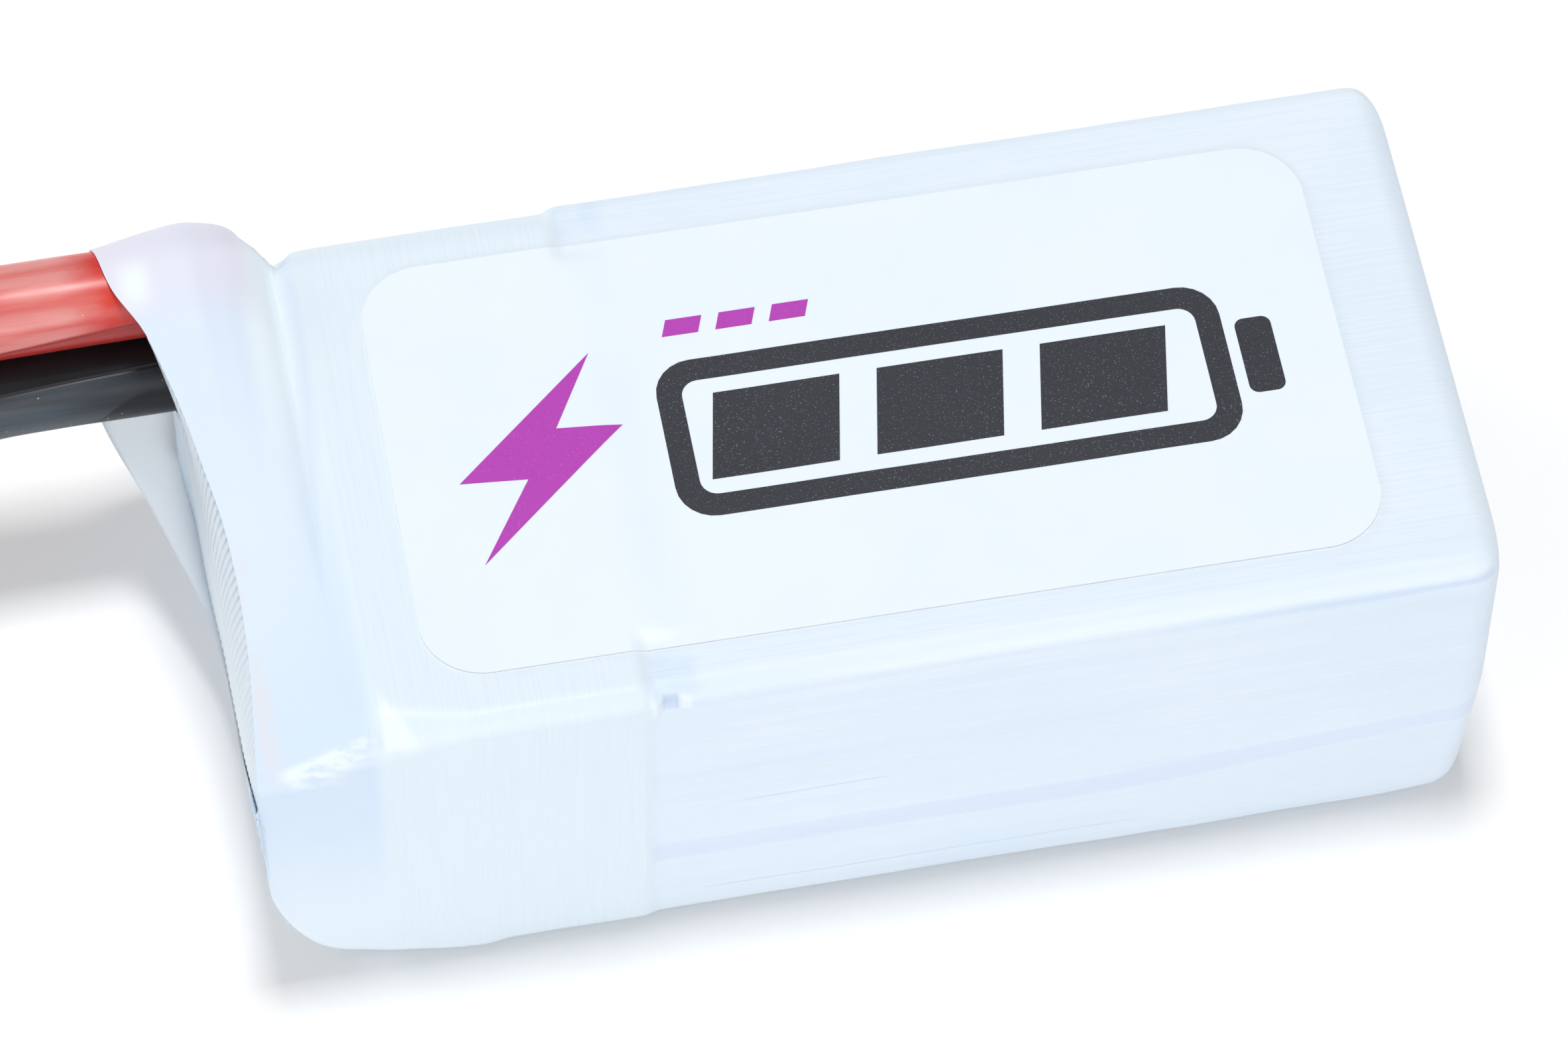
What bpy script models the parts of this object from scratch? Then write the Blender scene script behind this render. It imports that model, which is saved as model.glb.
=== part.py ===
"""A three-cell lithium-polymer battery pack: three pouch cells in a milky shrink sleeve,
with a tab board at the lead end, a red and a black silicone lead and a two-pole plug.

Lengths are in metres.  The pack is drawn in its own pack frame: origin at the middle of the
cell stack's base, +X away from the leads, +Z up through the label.  One empty carries that
frame to where the origin is the middle of the underside of the sleeve's bounding box.
"""
import math

import bmesh
import bpy
from mathutils import Vector

MM = 0.001

# ---- driving dimensions (mm, pack frame) ----
PACK_ORIGIN = (5.45, -1.09)          # where the pack frame sits, in the part's own X and Y
SLEEVE_HALF_WIDTH = 15.40
SLEEVE_TOP = 22.30
SLEEVE_END_X = 28.90                 # closed-over end
SHOULDER_X = -29.00                  # where the film leaves the cells and slopes to the mouth
FILM = 0.25
TAPE_STEP_X = -15.40                 # the wrap tape under the film ends here
TAPE_STEP = 0.20                     # what the tape adds under the film
CORNER_RADIUS = 1.30
WINDOW_INSET = 5.0                   # film lip around the window at the far end

CELL_THICKNESS = 6.43
CELL_HALF_WIDTH = 14.75
CELL_END_X = 28.25
CELL_START_X = -28.50
STACK_BASE_Z = 0.80
PAD_THICKNESS = 0.40
GAP = 0.20
TERRACE_LENGTH = 2.20
TAB_Y = 7.0
TAB_WIDTH = 5.0

BOARD_X = -32.20                     # middle of the board's thickness
BOARD_THICKNESS = 0.80
LEAD_RADIUS = 2.40
RED_AXIS = (14.40, 21.20)            # y, z of each lead where it leaves the sleeve
BLACK_AXIS = (13.00, 16.00)
JACKET_START_X = -34.30
MOUTH_DROP = 3.10                    # how far the top film falls from the shoulder to the lip
TAIL_LENGTH = 6.50
LOWER_LIP_Z = 11.30

PLUG_REAR_X = -107.0
PLUG_LENGTH = 15.5
PLUG_WIDTH = 16.0
PLUG_HEIGHT = 8.10
PLUG_AXIS_Z = 4.05
PLUG_Y = 14.0
POLE_PITCH = 7.20
CUP_LENGTH = 5.5

# Lead routes: straight out of the sleeve, down in an S, then along the surface to the plug.
RED_ROUTE = [
    (-34.3, 14.40, 21.20), (-38.0, 14.40, 21.20), (-42.0, 14.40, 21.20), (-46.0, 14.45, 20.95),
    (-51.0, 14.70, 19.55), (-57.0, 15.30, 16.30), (-63.0, 16.10, 12.10), (-69.0, 16.80, 8.00),
    (-75.0, 17.35, 4.90), (-80.0, 17.55, 3.20), (-85.0, 17.60, 2.85), (-90.0, 17.60, 3.45),
    (-94.5, 17.60, 4.02), (-99.5, 17.60, 4.05),
]
BLACK_ROUTE = [
    (-34.3, 13.00, 16.00), (-38.0, 13.00, 16.00), (-42.0, 13.00, 16.00), (-46.0, 12.95, 15.80),
    (-51.0, 12.75, 14.70), (-57.0, 12.20, 12.00), (-63.0, 11.50, 8.70), (-69.0, 10.95, 5.70),
    (-75.0, 10.60, 3.65), (-80.0, 10.42, 2.75), (-85.0, 10.40, 2.85), (-90.0, 10.40, 3.45),
    (-94.5, 10.40, 4.02), (-99.5, 10.40, 4.05),
]

# Along the mouth: fraction of each side of the section, and how far out the film's edge is.
LIP_TOP = [(0, -35.4), (.22, -34.75), (.41, -34.8), (.57, -35.53), (.66, -36.05), (.76, -36.82),
           (.81, -37.27), (.90, -38.53), (1, -39.13)]
LIP_BACK = [(0, -39.13), (.5, -39.6), (1, -39.8)]
LIP_BOTTOM = [(0, -39.8), (.11, -39.6), (.24, -38.1), (.44, -36.6), (.52, -36.2), (.62, -35.75),
              (1, -35.75)]
LIP_FRONT = [(0, -35.75), (.5, -35.65), (1, -35.4)]
# Film radius about the red lead, from the shoulder out to the mouth.
LOBE = [(-39.8, 2.85), (-39.0, 2.87), (-37.6, 3.05), (-36.2, 3.3), (-34.8, 3.45), (-33.5, 3.35),
        (-32.0, 2.85), (-30.9, 1.9), (-29.6, 0.5)]

COLOURS = {
    "film": ((0.86, 0.91, 0.96), 0.28, 0.0),
    "label": ((0.94, 0.95, 0.98), 0.35, 0.0),
    "red_silicone": ((0.72, 0.06, 0.04), 0.3, 0.0),
    "black_silicone": ((0.015, 0.016, 0.02), 0.3, 0.0),
    "pouch": ((0.62, 0.63, 0.66), 0.35, 0.9),
    "foam": ((0.9, 0.9, 0.88), 0.9, 0.0),
    "tape": ((0.92, 0.94, 0.95), 0.5, 0.0),
    "aluminium": ((0.8, 0.8, 0.82), 0.35, 1.0),
    "nickel": ((0.62, 0.6, 0.57), 0.3, 1.0),
    "board": ((0.03, 0.16, 0.08), 0.45, 0.0),
    "copper": ((0.8, 0.42, 0.2), 0.3, 1.0),
    "solder": ((0.66, 0.67, 0.69), 0.3, 1.0),
    "sealant": ((0.88, 0.9, 0.92), 0.45, 0.0),
    "nylon": ((0.9, 0.68, 0.05), 0.4, 0.0),
    "gold": ((0.92, 0.7, 0.28), 0.22, 1.0),
}


# ---- scene, collections and materials ----
def clear_scene():
    for obj in list(bpy.data.objects):
        bpy.data.objects.remove(obj, do_unlink=True)


def new_collection(name):
    collection = bpy.data.collections.new(name)
    bpy.context.scene.collection.children.link(collection)
    return collection


def material(name):
    found = bpy.data.materials.get(name)
    if found:
        return found
    colour, roughness, metallic = COLOURS[name]
    mat = bpy.data.materials.new(name)
    mat.use_nodes = True
    shader = mat.node_tree.nodes["Principled BSDF"]
    shader.inputs["Base Color"].default_value = (*colour, 1.0)
    shader.inputs["Roughness"].default_value = roughness
    shader.inputs["Metallic"].default_value = metallic
    mat.diffuse_color = (*colour, 1.0)
    return mat


def place(name, data, mat, location=(0, 0, 0), rotation=(0, 0, 0), cutter=False):
    """Put new object data in the pack frame, in mm, as a part or as a cutter."""
    obj = bpy.data.objects.new(name, data)
    (CUTTERS if cutter else PARTS).objects.link(obj)
    obj.location = Vector(location) * MM
    obj.rotation_euler = rotation
    obj.parent = PACK
    if cutter:
        obj.hide_render = True
        obj.display_type = "WIRE"
    else:
        data.materials.append(material(mat))
    return obj


def to_mesh(obj):
    """Replace a curve object by its welded mesh, so that it can cut or be cut."""
    evaluated = obj.evaluated_get(bpy.context.evaluated_depsgraph_get())
    mesh = bpy.data.meshes.new_from_object(evaluated)
    bm = bmesh.new()
    bm.from_mesh(mesh)
    bmesh.ops.remove_doubles(bm, verts=bm.verts, dist=1e-6)
    bm.to_mesh(mesh)
    bm.free()
    bpy.context.view_layer.update()
    new = bpy.data.objects.new("mesh_of_" + obj.name, mesh)
    for collection in obj.users_collection:
        collection.objects.link(new)
    new.parent = PACK
    new.matrix_world = obj.matrix_world
    new.hide_render = obj.hide_render
    new.display_type = obj.display_type
    name = obj.name
    bpy.data.objects.remove(obj, do_unlink=True)
    new.name = name
    return new


def smooth(obj, angle=40):
    obj.data.shade_smooth()
    obj.data.set_sharp_from_angle(angle=math.radians(angle))


def boolean(obj, other, operation):
    mod = obj.modifiers.new(operation.lower() + "_" + other.name, "BOOLEAN")
    mod.operation = operation
    mod.object = other


def bevel(obj, width, segments):
    mod = obj.modifiers.new("bevel", "BEVEL")
    mod.width = width * MM
    mod.segments = segments
    mod.limit_method = "ANGLE"


# ---- primitives ----
def box(name, mat, low, high, cutter=False):
    """A box between two corners."""
    mesh = bpy.data.meshes.new(name)
    bm = bmesh.new()
    bmesh.ops.create_cube(bm, size=1.0)
    size = [(h - l) * MM for l, h in zip(low, high)]
    bmesh.ops.scale(bm, vec=size, verts=bm.verts)
    bm.to_mesh(mesh)
    bm.free()
    centre = [(l + h) / 2 for l, h in zip(low, high)]
    return place(name, mesh, mat, centre, cutter=cutter)


def rod_x(name, mat, radius, x_low, x_high, y, z, sides=20, cutter=False):
    """A round bar along X."""
    mesh = bpy.data.meshes.new(name)
    bm = bmesh.new()
    bmesh.ops.create_cone(bm, cap_ends=True, segments=sides, radius1=radius * MM,
                          radius2=radius * MM, depth=(x_high - x_low) * MM)
    bm.to_mesh(mesh)
    bm.free()
    middle = ((x_low + x_high) / 2, y, z)
    obj = place(name, mesh, mat, middle, (0, math.pi / 2, 0), cutter)
    smooth(obj)
    return obj


def turned_x(name, mat, profile, x, y, z, sides=20):
    """A shape turned about an axis along -X: profile points are (radius, height), top first."""
    mesh = bpy.data.meshes.new(name)
    bm = bmesh.new()
    verts = [bm.verts.new((r * MM, 0, h * MM)) for r, h in profile]
    for a, b in zip(verts, verts[1:]):
        bm.edges.new((a, b))
    bm.to_mesh(mesh)
    bm.free()
    obj = place(name, mesh, mat, (x, y, z), (0, -math.pi / 2, 0))
    mod = obj.modifiers.new("turn", "SCREW")
    mod.steps = sides
    mod.render_steps = sides
    mod.use_merge_vertices = True
    mod.merge_threshold = 1e-6
    smooth(obj)
    return obj


def flat_shape(name, mat, outline, thickness, location=(0, 0, 0), rotation=(0, 0, 0), cutter=False):
    """A flat plate: a closed 2D outline, extruded by half its thickness each way."""
    curve = bpy.data.curves.new(name, "CURVE")
    curve.dimensions = "2D"
    curve.fill_mode = "BOTH"
    curve.extrude = thickness / 2 * MM
    spline = curve.splines.new("POLY")
    spline.points.add(len(outline) - 1)
    for point, (a, b) in zip(spline.points, outline):
        point.co = (a * MM, b * MM, 0, 1)
    spline.use_cyclic_u = True
    return place(name, curve, mat, location, rotation, cutter)


def arc(centre, radius, start, end, steps):
    """Points on an arc, angles in degrees."""
    angles = [math.radians(start + (end - start) * i / steps) for i in range(steps + 1)]
    return [(centre[0] + radius * math.cos(a), centre[1] + radius * math.sin(a)) for a in angles]


def rounded_rectangle(half_x, half_y, radius, steps=5):
    points = []
    for sx, sy, start in ((1, 1, 0), (-1, 1, 90), (-1, -1, 180), (1, -1, 270)):
        points += arc((sx * (half_x - radius), sy * (half_y - radius)), radius, start, start + 90, steps)
    return points


def read_table(table, at):
    """A smooth value between the rows of a table of (place, value), by Catmull-Rom."""
    if at <= table[0][0]:
        return table[0][1]
    if at >= table[-1][0]:
        return table[-1][1]
    k = max(i for i in range(len(table) - 1) if table[i][0] <= at)
    (x0, y0), (x1, y1) = table[k], table[k + 1]
    before, after = table[max(k - 1, 0)], table[min(k + 2, len(table) - 1)]
    slope0 = (y1 - before[1]) / (x1 - before[0])
    slope1 = (after[1] - y0) / (after[0] - x0)
    t = (at - x0) / (x1 - x0)
    span = x1 - x0
    return ((2 * t**3 - 3 * t**2 + 1) * y0 + (t**3 - 2 * t**2 + t) * span * slope0
            + (3 * t**2 - 2 * t**3) * y1 + (t**3 - t**2) * span * slope1)


# ---- the sleeve ----
def top_of_film(x):
    """Height of the top film along the pack: the tape's step, then the slope to the mouth."""
    if x < SHOULDER_X:
        fall = min((SHOULDER_X - x) / TAIL_LENGTH, 1.0)
        return SLEEVE_TOP + TAPE_STEP - MOUTH_DROP * fall
    return SLEEVE_TOP + TAPE_STEP * tape_share(x)


def tape_share(x):
    """1 over the wrap tape, 0 past it."""
    return min(max((TAPE_STEP_X + 0.2 - x) / 0.4, 0.0), 1.0)


def end_bulge_height(x):
    """Height of the film's underside at the lead end, as it curls up to the lower lip."""
    out = min(max((SHOULDER_X - x) / TAIL_LENGTH, 0.0), 1.0)
    return LOWER_LIP_Z * (1 - math.sqrt(1 - out * out))


def back_ramp_height(x):
    """The same at the back corner, where the film runs out under the leads."""
    out = max((SHOULDER_X - 0.8 - x) / 9.8, 0.0)
    return 12.4 * out**1.6


def discs(x, inset=0.0):
    """The section's film is stretched round these discs: (y, z, radius)."""
    r = CORNER_RADIUS
    half = SLEEVE_HALF_WIDTH + TAPE_STEP * tape_share(x) - inset
    top = top_of_film(x) - inset
    if x >= SHOULDER_X:
        return [(side * (half - r), z, r) for side in (-1, 1) for z in (r + inset, top - r)]
    out = min((SHOULDER_X - x) / TAIL_LENGTH, 1.0)
    low_front = r + 1.2 * out
    low_back = r + 1.2 * out
    return [
        (-half + r + 0.35 * out, top - r, r),
        (-half + low_front, end_bulge_height(x) + low_front, low_front),
        (half - low_back + 1.0 * out, back_ramp_height(x) + low_back, low_back),
        (half - r - 0.4 * out, top - r, r),
        (*RED_AXIS, read_table(LOBE, x)),
    ]


def section(x, fractions, inset=0.0):
    """Points round the hull of the discs, side by side: top, back, bottom, front."""
    around = discs(x, inset)
    hull = []
    steps = 360
    for i in range(steps):
        angle = 2 * math.pi * i / steps
        ny, nz = math.cos(angle), math.sin(angle)
        y, z, r = max(around, key=lambda d: d[0] * ny + d[1] * nz + d[2])
        hull.append((y + r * ny, z + r * nz))
    quarter = steps // 4
    corners = [quarter + quarter // 2, quarter // 2, -quarter // 2, -quarter - quarter // 2]
    points = []
    for start in corners:
        side = [hull[(start - i) % steps] for i in range(quarter + 1)]
        lengths = [0.0]
        for a, b in zip(side, side[1:]):
            lengths.append(lengths[-1] + math.dist(a, b))
        for fraction in fractions:
            want = fraction * lengths[-1]
            k = max(i for i in range(quarter) if lengths[i] <= want)
            span = lengths[k + 1] - lengths[k]
            t = (want - lengths[k]) / span if span > 1e-9 else 0.0
            points.append(tuple(a + (b - a) * t for a, b in zip(side[k], side[k + 1])))
    return points


def side_fractions(long_steps=5):
    """Places along one side, close together at the rounded corners."""
    edge = [0.0, 0.03, 0.07]
    middle = [0.11 + (0.78 * i) / long_steps for i in range(long_steps + 1)]
    return edge + middle + [0.93, 0.97]


def sleeve_rings():
    """Rings of (x, y, z) in mm from the far window to the mouth."""
    fractions = side_fractions()
    rings = []
    turn = 1.5
    rings.append((SLEEVE_END_X, WINDOW_INSET))
    rings.append((SLEEVE_END_X, turn + 0.8))
    for degrees in (90, 60, 30, 0):
        angle = math.radians(degrees)
        x = SLEEVE_END_X - turn * (1 - math.sin(angle))
        rings.append((x, turn * (1 - math.cos(angle))))
    for x in (14.0, 0.0, TAPE_STEP_X + 0.2, TAPE_STEP_X - 0.2, -22.0, SHOULDER_X):
        rings.append((x, 0.0))
    solid = [[(x, y, z) for y, z in section(x, fractions, inset)] for x, inset in rings]
    tables = (LIP_TOP, LIP_BACK, LIP_BOTTOM, LIP_FRONT)
    lip = [read_table(table, f) for table in tables for f in fractions]
    tail_steps = 8
    for step in range(1, tail_steps + 1):
        share = math.sin(math.pi / 2 * step / tail_steps)
        ring = []
        for i, lip_x in enumerate(lip):
            x = SHOULDER_X + (lip_x - SHOULDER_X) * share
            ring.append((x, *section(x, fractions)[i]))
        solid.append(ring)
    return solid


def build_sleeve():
    rings = sleeve_rings()
    mesh = bpy.data.meshes.new("shrink_sleeve")
    bm = bmesh.new()
    loops = [[bm.verts.new([c * MM for c in p]) for p in ring] for ring in rings]
    for a, b in zip(loops, loops[1:]):
        for i in range(len(a)):
            j = (i + 1) % len(a)
            bm.faces.new((a[i], b[i], b[j], a[j]))
    bmesh.ops.recalc_face_normals(bm, faces=bm.faces)
    centre = Vector((0, 0, 11 * MM))
    probe = max(bm.faces, key=lambda f: f.calc_center_median().z)
    if probe.normal.dot(probe.calc_center_median() - centre) < 0:
        bmesh.ops.reverse_faces(bm, faces=bm.faces)
    bm.to_mesh(mesh)
    bm.free()
    obj = place("shrink_sleeve", mesh, "film")
    shell = obj.modifiers.new("film", "SOLIDIFY")
    shell.thickness = FILM * MM
    shell.offset = -1.0
    smooth(obj)


def build_label():
    outline = rounded_rectangle(24.8, 12.45, 3.3, 6)
    flat_shape("label_sticker", "label", outline, 0.12, (-1.33, -0.12, SLEEVE_TOP + TAPE_STEP + 0.2),
               (0, 0, math.radians(-0.32)))


# ---- the cell stack ----
def cell_middle(level):
    return STACK_BASE_Z + CELL_THICKNESS / 2 + level * (CELL_THICKNESS + PAD_THICKNESS + 2 * GAP)


def build_cell(name, level):
    """A pouch: the cup, the sealed terrace at the tab end and the side seals folded up."""
    z = cell_middle(level)
    half = CELL_THICKNESS / 2
    cup = box(name, "pouch", (CELL_START_X, -CELL_HALF_WIDTH + 0.4, z - half),
              (CELL_END_X, CELL_HALF_WIDTH - 0.4, z + half))
    bevel(cup, 1.1, 3)
    terrace = box(name + "_terrace", None, (CELL_START_X - TERRACE_LENGTH, -13.0, z - 0.15),
                  (CELL_START_X + 1.5, 13.0, z + 0.15), cutter=True)
    boolean(cup, terrace, "UNION")
    for side, word in ((-1, "front"), (1, "back")):
        inner, outer = sorted((side * (CELL_HALF_WIDTH - 0.7), side * CELL_HALF_WIDTH))
        seal = box(name + "_seal_" + word, None, (CELL_START_X + 1.0, inner, z - 2.0),
                   (CELL_END_X - 1.0, outer, z + 1.9), cutter=True)
        boolean(cup, seal, "UNION")
    smooth(cup, 30)


def build_pads():
    for name, level in (("foam_pad_lower", 0), ("foam_pad_upper", 1)):
        z = cell_middle(level) + CELL_THICKNESS / 2 + GAP + PAD_THICKNESS / 2
        flat_shape(name, "foam", rounded_rectangle(25.0, 12.5, 1.5, 3), PAD_THICKNESS, (0, 0, z))


def build_wrap_tape():
    """The tape round the lead end of the stack, an open band."""
    low, high = 0.45, SLEEVE_TOP + TAPE_STEP - FILM - GAP
    half_width, half_height = CELL_HALF_WIDTH + 0.35, (high - low) / 2
    outline = rounded_rectangle(half_width, half_height, 1.1, 4)
    x_start, x_end = CELL_START_X + 0.1, TAPE_STEP_X - 0.4
    mesh = bpy.data.meshes.new("wrap_tape")
    bm = bmesh.new()
    ends = [[bm.verts.new((x * MM, y * MM, z * MM)) for y, z in outline] for x in (x_start, x_end)]
    for i in range(len(outline)):
        j = (i + 1) % len(outline)
        bm.faces.new((ends[0][j], ends[0][i], ends[1][i], ends[1][j]))
    bm.to_mesh(mesh)
    bm.free()
    obj = place("wrap_tape", mesh, "tape", (0, 0, (low + high) / 2))
    band = obj.modifiers.new("band", "SOLIDIFY")
    band.thickness = 0.15 * MM
    band.offset = -1.0
    smooth(obj)


# ---- tabs and board ----
YZ_PLANE = (math.pi / 2, 0, math.pi / 2)     # a flat shape's x, y become the pack's y, z


def build_board():
    """The tab board with an ear at the back corner for the red lead."""
    ear = arc(RED_AXIS, 2.15, -80, 180, 14)
    outline = [(-12.4, 3.0), (14.9, 3.0)] + ear + [(RED_AXIS[0] - 2.15, 19.9), (-12.4, 19.9)]
    outline += [(-13.4, 18.9), (-13.4, 4.0)]
    plate = flat_shape("tab_board", "board", outline, BOARD_THICKNESS, (BOARD_X, 0, 0), YZ_PLANE)
    board = to_mesh(plate)
    for level in range(3):
        for side in (-1, 1):
            z = cell_middle(level)
            low = (BOARD_X - 1, side * TAB_Y - TAB_WIDTH / 2 - 0.3, z - 0.3)
            high = (BOARD_X + 1, side * TAB_Y + TAB_WIDTH / 2 + 0.3, z + 0.3)
            slot = box("slot_%d_%d" % (level, side), None, low, high, cutter=True)
            boolean(board, slot, "DIFFERENCE")
    return board


def build_tab(name, mat, y, z):
    """A cell's tab: through its slot in the board, then folded down on the outer face."""
    face = BOARD_X - BOARD_THICKNESS / 2
    root, fold, thick = CELL_START_X - TERRACE_LENGTH - GAP, face - 0.3, 0.15
    outline = [(root, -thick / 2), (root, thick / 2), (fold, thick / 2), (fold, -1.0),
               (fold + thick, -1.0), (fold + thick, -thick / 2)]
    flat_shape(name, mat, outline, TAB_WIDTH, (0, y, z), (math.pi / 2, 0, 0))


def build_tabs_and_joints():
    for level, word in enumerate(("bottom", "middle", "top")):
        z = cell_middle(level)
        flip = 1 if level % 2 else -1
        for pole, mat, side in (("positive", "aluminium", flip), ("negative", "nickel", -flip)):
            y = side * TAB_Y
            build_tab("tab_%s_%s" % (word, pole), mat, y, z)
            face = BOARD_X - BOARD_THICKNESS / 2
            joint = box("tab_joint_%s_%s" % (word, pole), "solder", (face - 0.55, y - 2.2, z + 0.3),
                        (face - 0.1, y + 2.2, z + 1.1))
            bevel(joint, 0.16, 2)


def build_balance_pads():
    """Bare copper pads on the board's outer face for the cell-voltage wires."""
    for i in range(4):
        rod_x("balance_pad_%d" % (i + 1), "copper", 0.75, BOARD_X - 0.6, BOARD_X - 0.45,
              -3.0 + 2.0 * i, 7.6, 12)


def build_end_cover():
    """Ribbed insulating tape that closes the lead end, from the upper lip down round the bulge."""
    mesh = bpy.data.meshes.new("end_cover_tape")
    bm = bmesh.new()
    rows = []
    columns, heights = 12, 7
    front_y, back_y = -14.3, 9.9
    for i in range(columns + 1):
        y = front_y + (back_y - front_y) * i / columns
        lip_x = read_table(LIP_TOP, (y + 15.2) / 31.6) + 0.45
        upper = SLEEVE_TOP + TAPE_STEP - MOUTH_DROP + (y + 13.8) / 28.2 * 4.6 - 0.75
        row = []
        for j in range(heights + 1):
            z = 5.2 + (upper - 5.2) * j / heights
            below = max((LOWER_LIP_Z - z) / LOWER_LIP_Z, 0.0)
            bulge_x = SHOULDER_X - TAIL_LENGTH * math.sqrt(1 - below * below) + 0.95
            row.append(bm.verts.new((max(lip_x, bulge_x) * MM, y * MM, z * MM)))
        rows.append(row)
    for a, b in zip(rows, rows[1:]):
        for j in range(heights):
            bm.faces.new((a[j], a[j + 1], b[j + 1], b[j]))
    bm.to_mesh(mesh)
    bm.free()
    obj = place("end_cover_tape", mesh, "tape")
    shell = obj.modifiers.new("tape", "SOLIDIFY")
    shell.thickness = 0.4 * MM
    shell.offset = 1.0
    smooth(obj)


def hull_outline(circles, steps=32):
    """The outline of a band stretched round circles (a, b, radius)."""
    points = []
    for i in range(steps):
        angle = 2 * math.pi * i / steps
        c, s = math.cos(angle), math.sin(angle)
        a, b, r = max(circles, key=lambda d: d[0] * c + d[1] * s + d[2])
        points.append((a + r * c, b + r * s))
    return points


def build_lead_sealant():
    """The block of soft sealant that holds both leads where they leave the board."""
    radius = LEAD_RADIUS + 0.4
    outline = hull_outline([(*RED_AXIS, radius), (*BLACK_AXIS, radius)])
    low, high = -35.90, -33.00
    block = flat_shape("lead_sealant", "sealant", outline, high - low, ((low + high) / 2, 0, 0), YZ_PLANE)
    block = to_mesh(block)
    for name, (y, z) in (("red_bore", RED_AXIS), ("black_bore", BLACK_AXIS)):
        bore = rod_x(name, None, LEAD_RADIUS + 0.15, low - 1, high + 1, y, z, 20, cutter=True)
        boolean(block, bore, "DIFFERENCE")
    smooth(block, 30)


def build_lead_joint(colour, axis):
    """At the board: a dome of solder, then the tinned end of the lead's copper."""
    y, z = axis
    face = BOARD_X - BOARD_THICKNESS / 2
    dome = [(0, 0.9), (0.9, 0.82), (1.5, 0.55), (1.9, 0.1), (1.9, 0.0), (0, 0.0)]
    turned_x("%s_board_solder" % colour, "solder", dome, face - 0.1, y, z)
    rod_x("%s_copper_board_end" % colour, "solder", 1.5, JACKET_START_X + 0.15, face - 1.05, y, z)


# ---- leads and plug ----
def along_route(route, spacing):
    """Evenly spaced points on a smooth curve through the route."""
    points = [Vector(p) for p in route]
    fine = []
    for i in range(len(points) - 1):
        p0, p1, p2 = points[max(i - 1, 0)], points[i], points[i + 1]
        p3 = points[min(i + 2, len(points) - 1)]
        for k in range(20):
            t = k / 20
            fine.append(0.5 * (2 * p1 + (p2 - p0) * t + (2 * p0 - 5 * p1 + 4 * p2 - p3) * t**2
                               + (3 * p1 - p0 - 3 * p2 + p3) * t**3))
    fine.append(points[-1])
    lengths = [0.0]
    for a, b in zip(fine, fine[1:]):
        lengths.append(lengths[-1] + (b - a).length)
    count = round(lengths[-1] / spacing)
    result = []
    for i in range(count + 1):
        want = lengths[-1] * i / count
        k = max(j for j in range(len(fine) - 1) if lengths[j] <= want)
        t = (want - lengths[k]) / (lengths[k + 1] - lengths[k])
        result.append(fine[k].lerp(fine[k + 1], t))
    return result


def build_lead(name, mat, route):
    curve = bpy.data.curves.new(name, "CURVE")
    curve.dimensions = "3D"
    curve.bevel_depth = LEAD_RADIUS * MM
    curve.bevel_resolution = 4
    curve.use_fill_caps = True
    points = along_route(route, 2.0 * LEAD_RADIUS * 1.5)
    spline = curve.splines.new("POLY")
    spline.points.add(len(points) - 1)
    for target, p in zip(spline.points, points):
        target.co = (p.x * MM, p.y * MM, p.z * MM, 1)
    place(name, curve, mat)


def build_contact(name, y):
    """A turned contact: solder cup at the lead, a web, and a socket open at the nose."""
    cup, socket = 1.8, 1.75
    outer = 2.25
    length = CUP_LENGTH + PLUG_LENGTH - 1.0
    profile = [(0, length - 9.0), (socket, length - 9.0), (socket, length), (outer, length),
               (outer, 0.0), (cup, 0.0), (cup, 4.2), (0, 4.2)]
    turned_x(name, "gold", profile, PLUG_REAR_X + CUP_LENGTH, y, PLUG_AXIS_Z)


def build_plug():
    """A generic two-pole plug body with two chamfered corners, and what is on its poles."""
    half_w, half_h, chamfer = PLUG_WIDTH / 2, PLUG_HEIGHT / 2, 2.4
    outline = [(half_w - 0.5, -half_h), (half_w, -half_h + 0.5), (half_w, half_h - 0.5),
               (half_w - 0.5, half_h), (-half_w + chamfer, half_h), (-half_w, half_h - chamfer),
               (-half_w, -half_h + chamfer), (-half_w + chamfer, -half_h)]
    middle = (PLUG_REAR_X - PLUG_LENGTH / 2, PLUG_Y, PLUG_AXIS_Z)
    body = to_mesh(flat_shape("plug_housing", "nylon", outline, PLUG_LENGTH, middle, YZ_PLANE))
    for colour, side in (("red", 1), ("black", -1)):
        y = PLUG_Y + side * POLE_PITCH / 2
        bore = rod_x(colour + "_pole_bore", None, 2.45, PLUG_REAR_X - PLUG_LENGTH - 1,
                     PLUG_REAR_X + 1, y, PLUG_AXIS_Z, 24, cutter=True)
        boolean(body, bore, "DIFFERENCE")
        build_contact("contact_" + ("positive" if side > 0 else "negative"), y)
        rod_x(colour + "_copper_plug_end", "solder", 1.5, PLUG_REAR_X + CUP_LENGTH - 3.6,
              PLUG_REAR_X + CUP_LENGTH + 1.7, y, PLUG_AXIS_Z)
        build_heat_shrink(colour, y)


def build_heat_shrink(colour, y):
    """The shrink tube over a soldered cup and the end of its lead."""
    low, high = PLUG_REAR_X + 0.3, PLUG_REAR_X + 10.0
    tube = rod_x(colour + "_heat_shrink", colour + "_silicone", 2.95, low, high, y, PLUG_AXIS_Z, 20)
    bore = rod_x(colour + "_shrink_bore", None, 2.65, low - 1, high + 1, y, PLUG_AXIS_Z, 20, cutter=True)
    boolean(tube, bore, "DIFFERENCE")


clear_scene()
PARTS = new_collection("lipo_battery_pack")
CUTTERS = new_collection("cutters")
PACK = bpy.data.objects.new("pack_frame", None)
PARTS.objects.link(PACK)
PACK.location = (PACK_ORIGIN[0] * MM, PACK_ORIGIN[1] * MM, 0)

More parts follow.
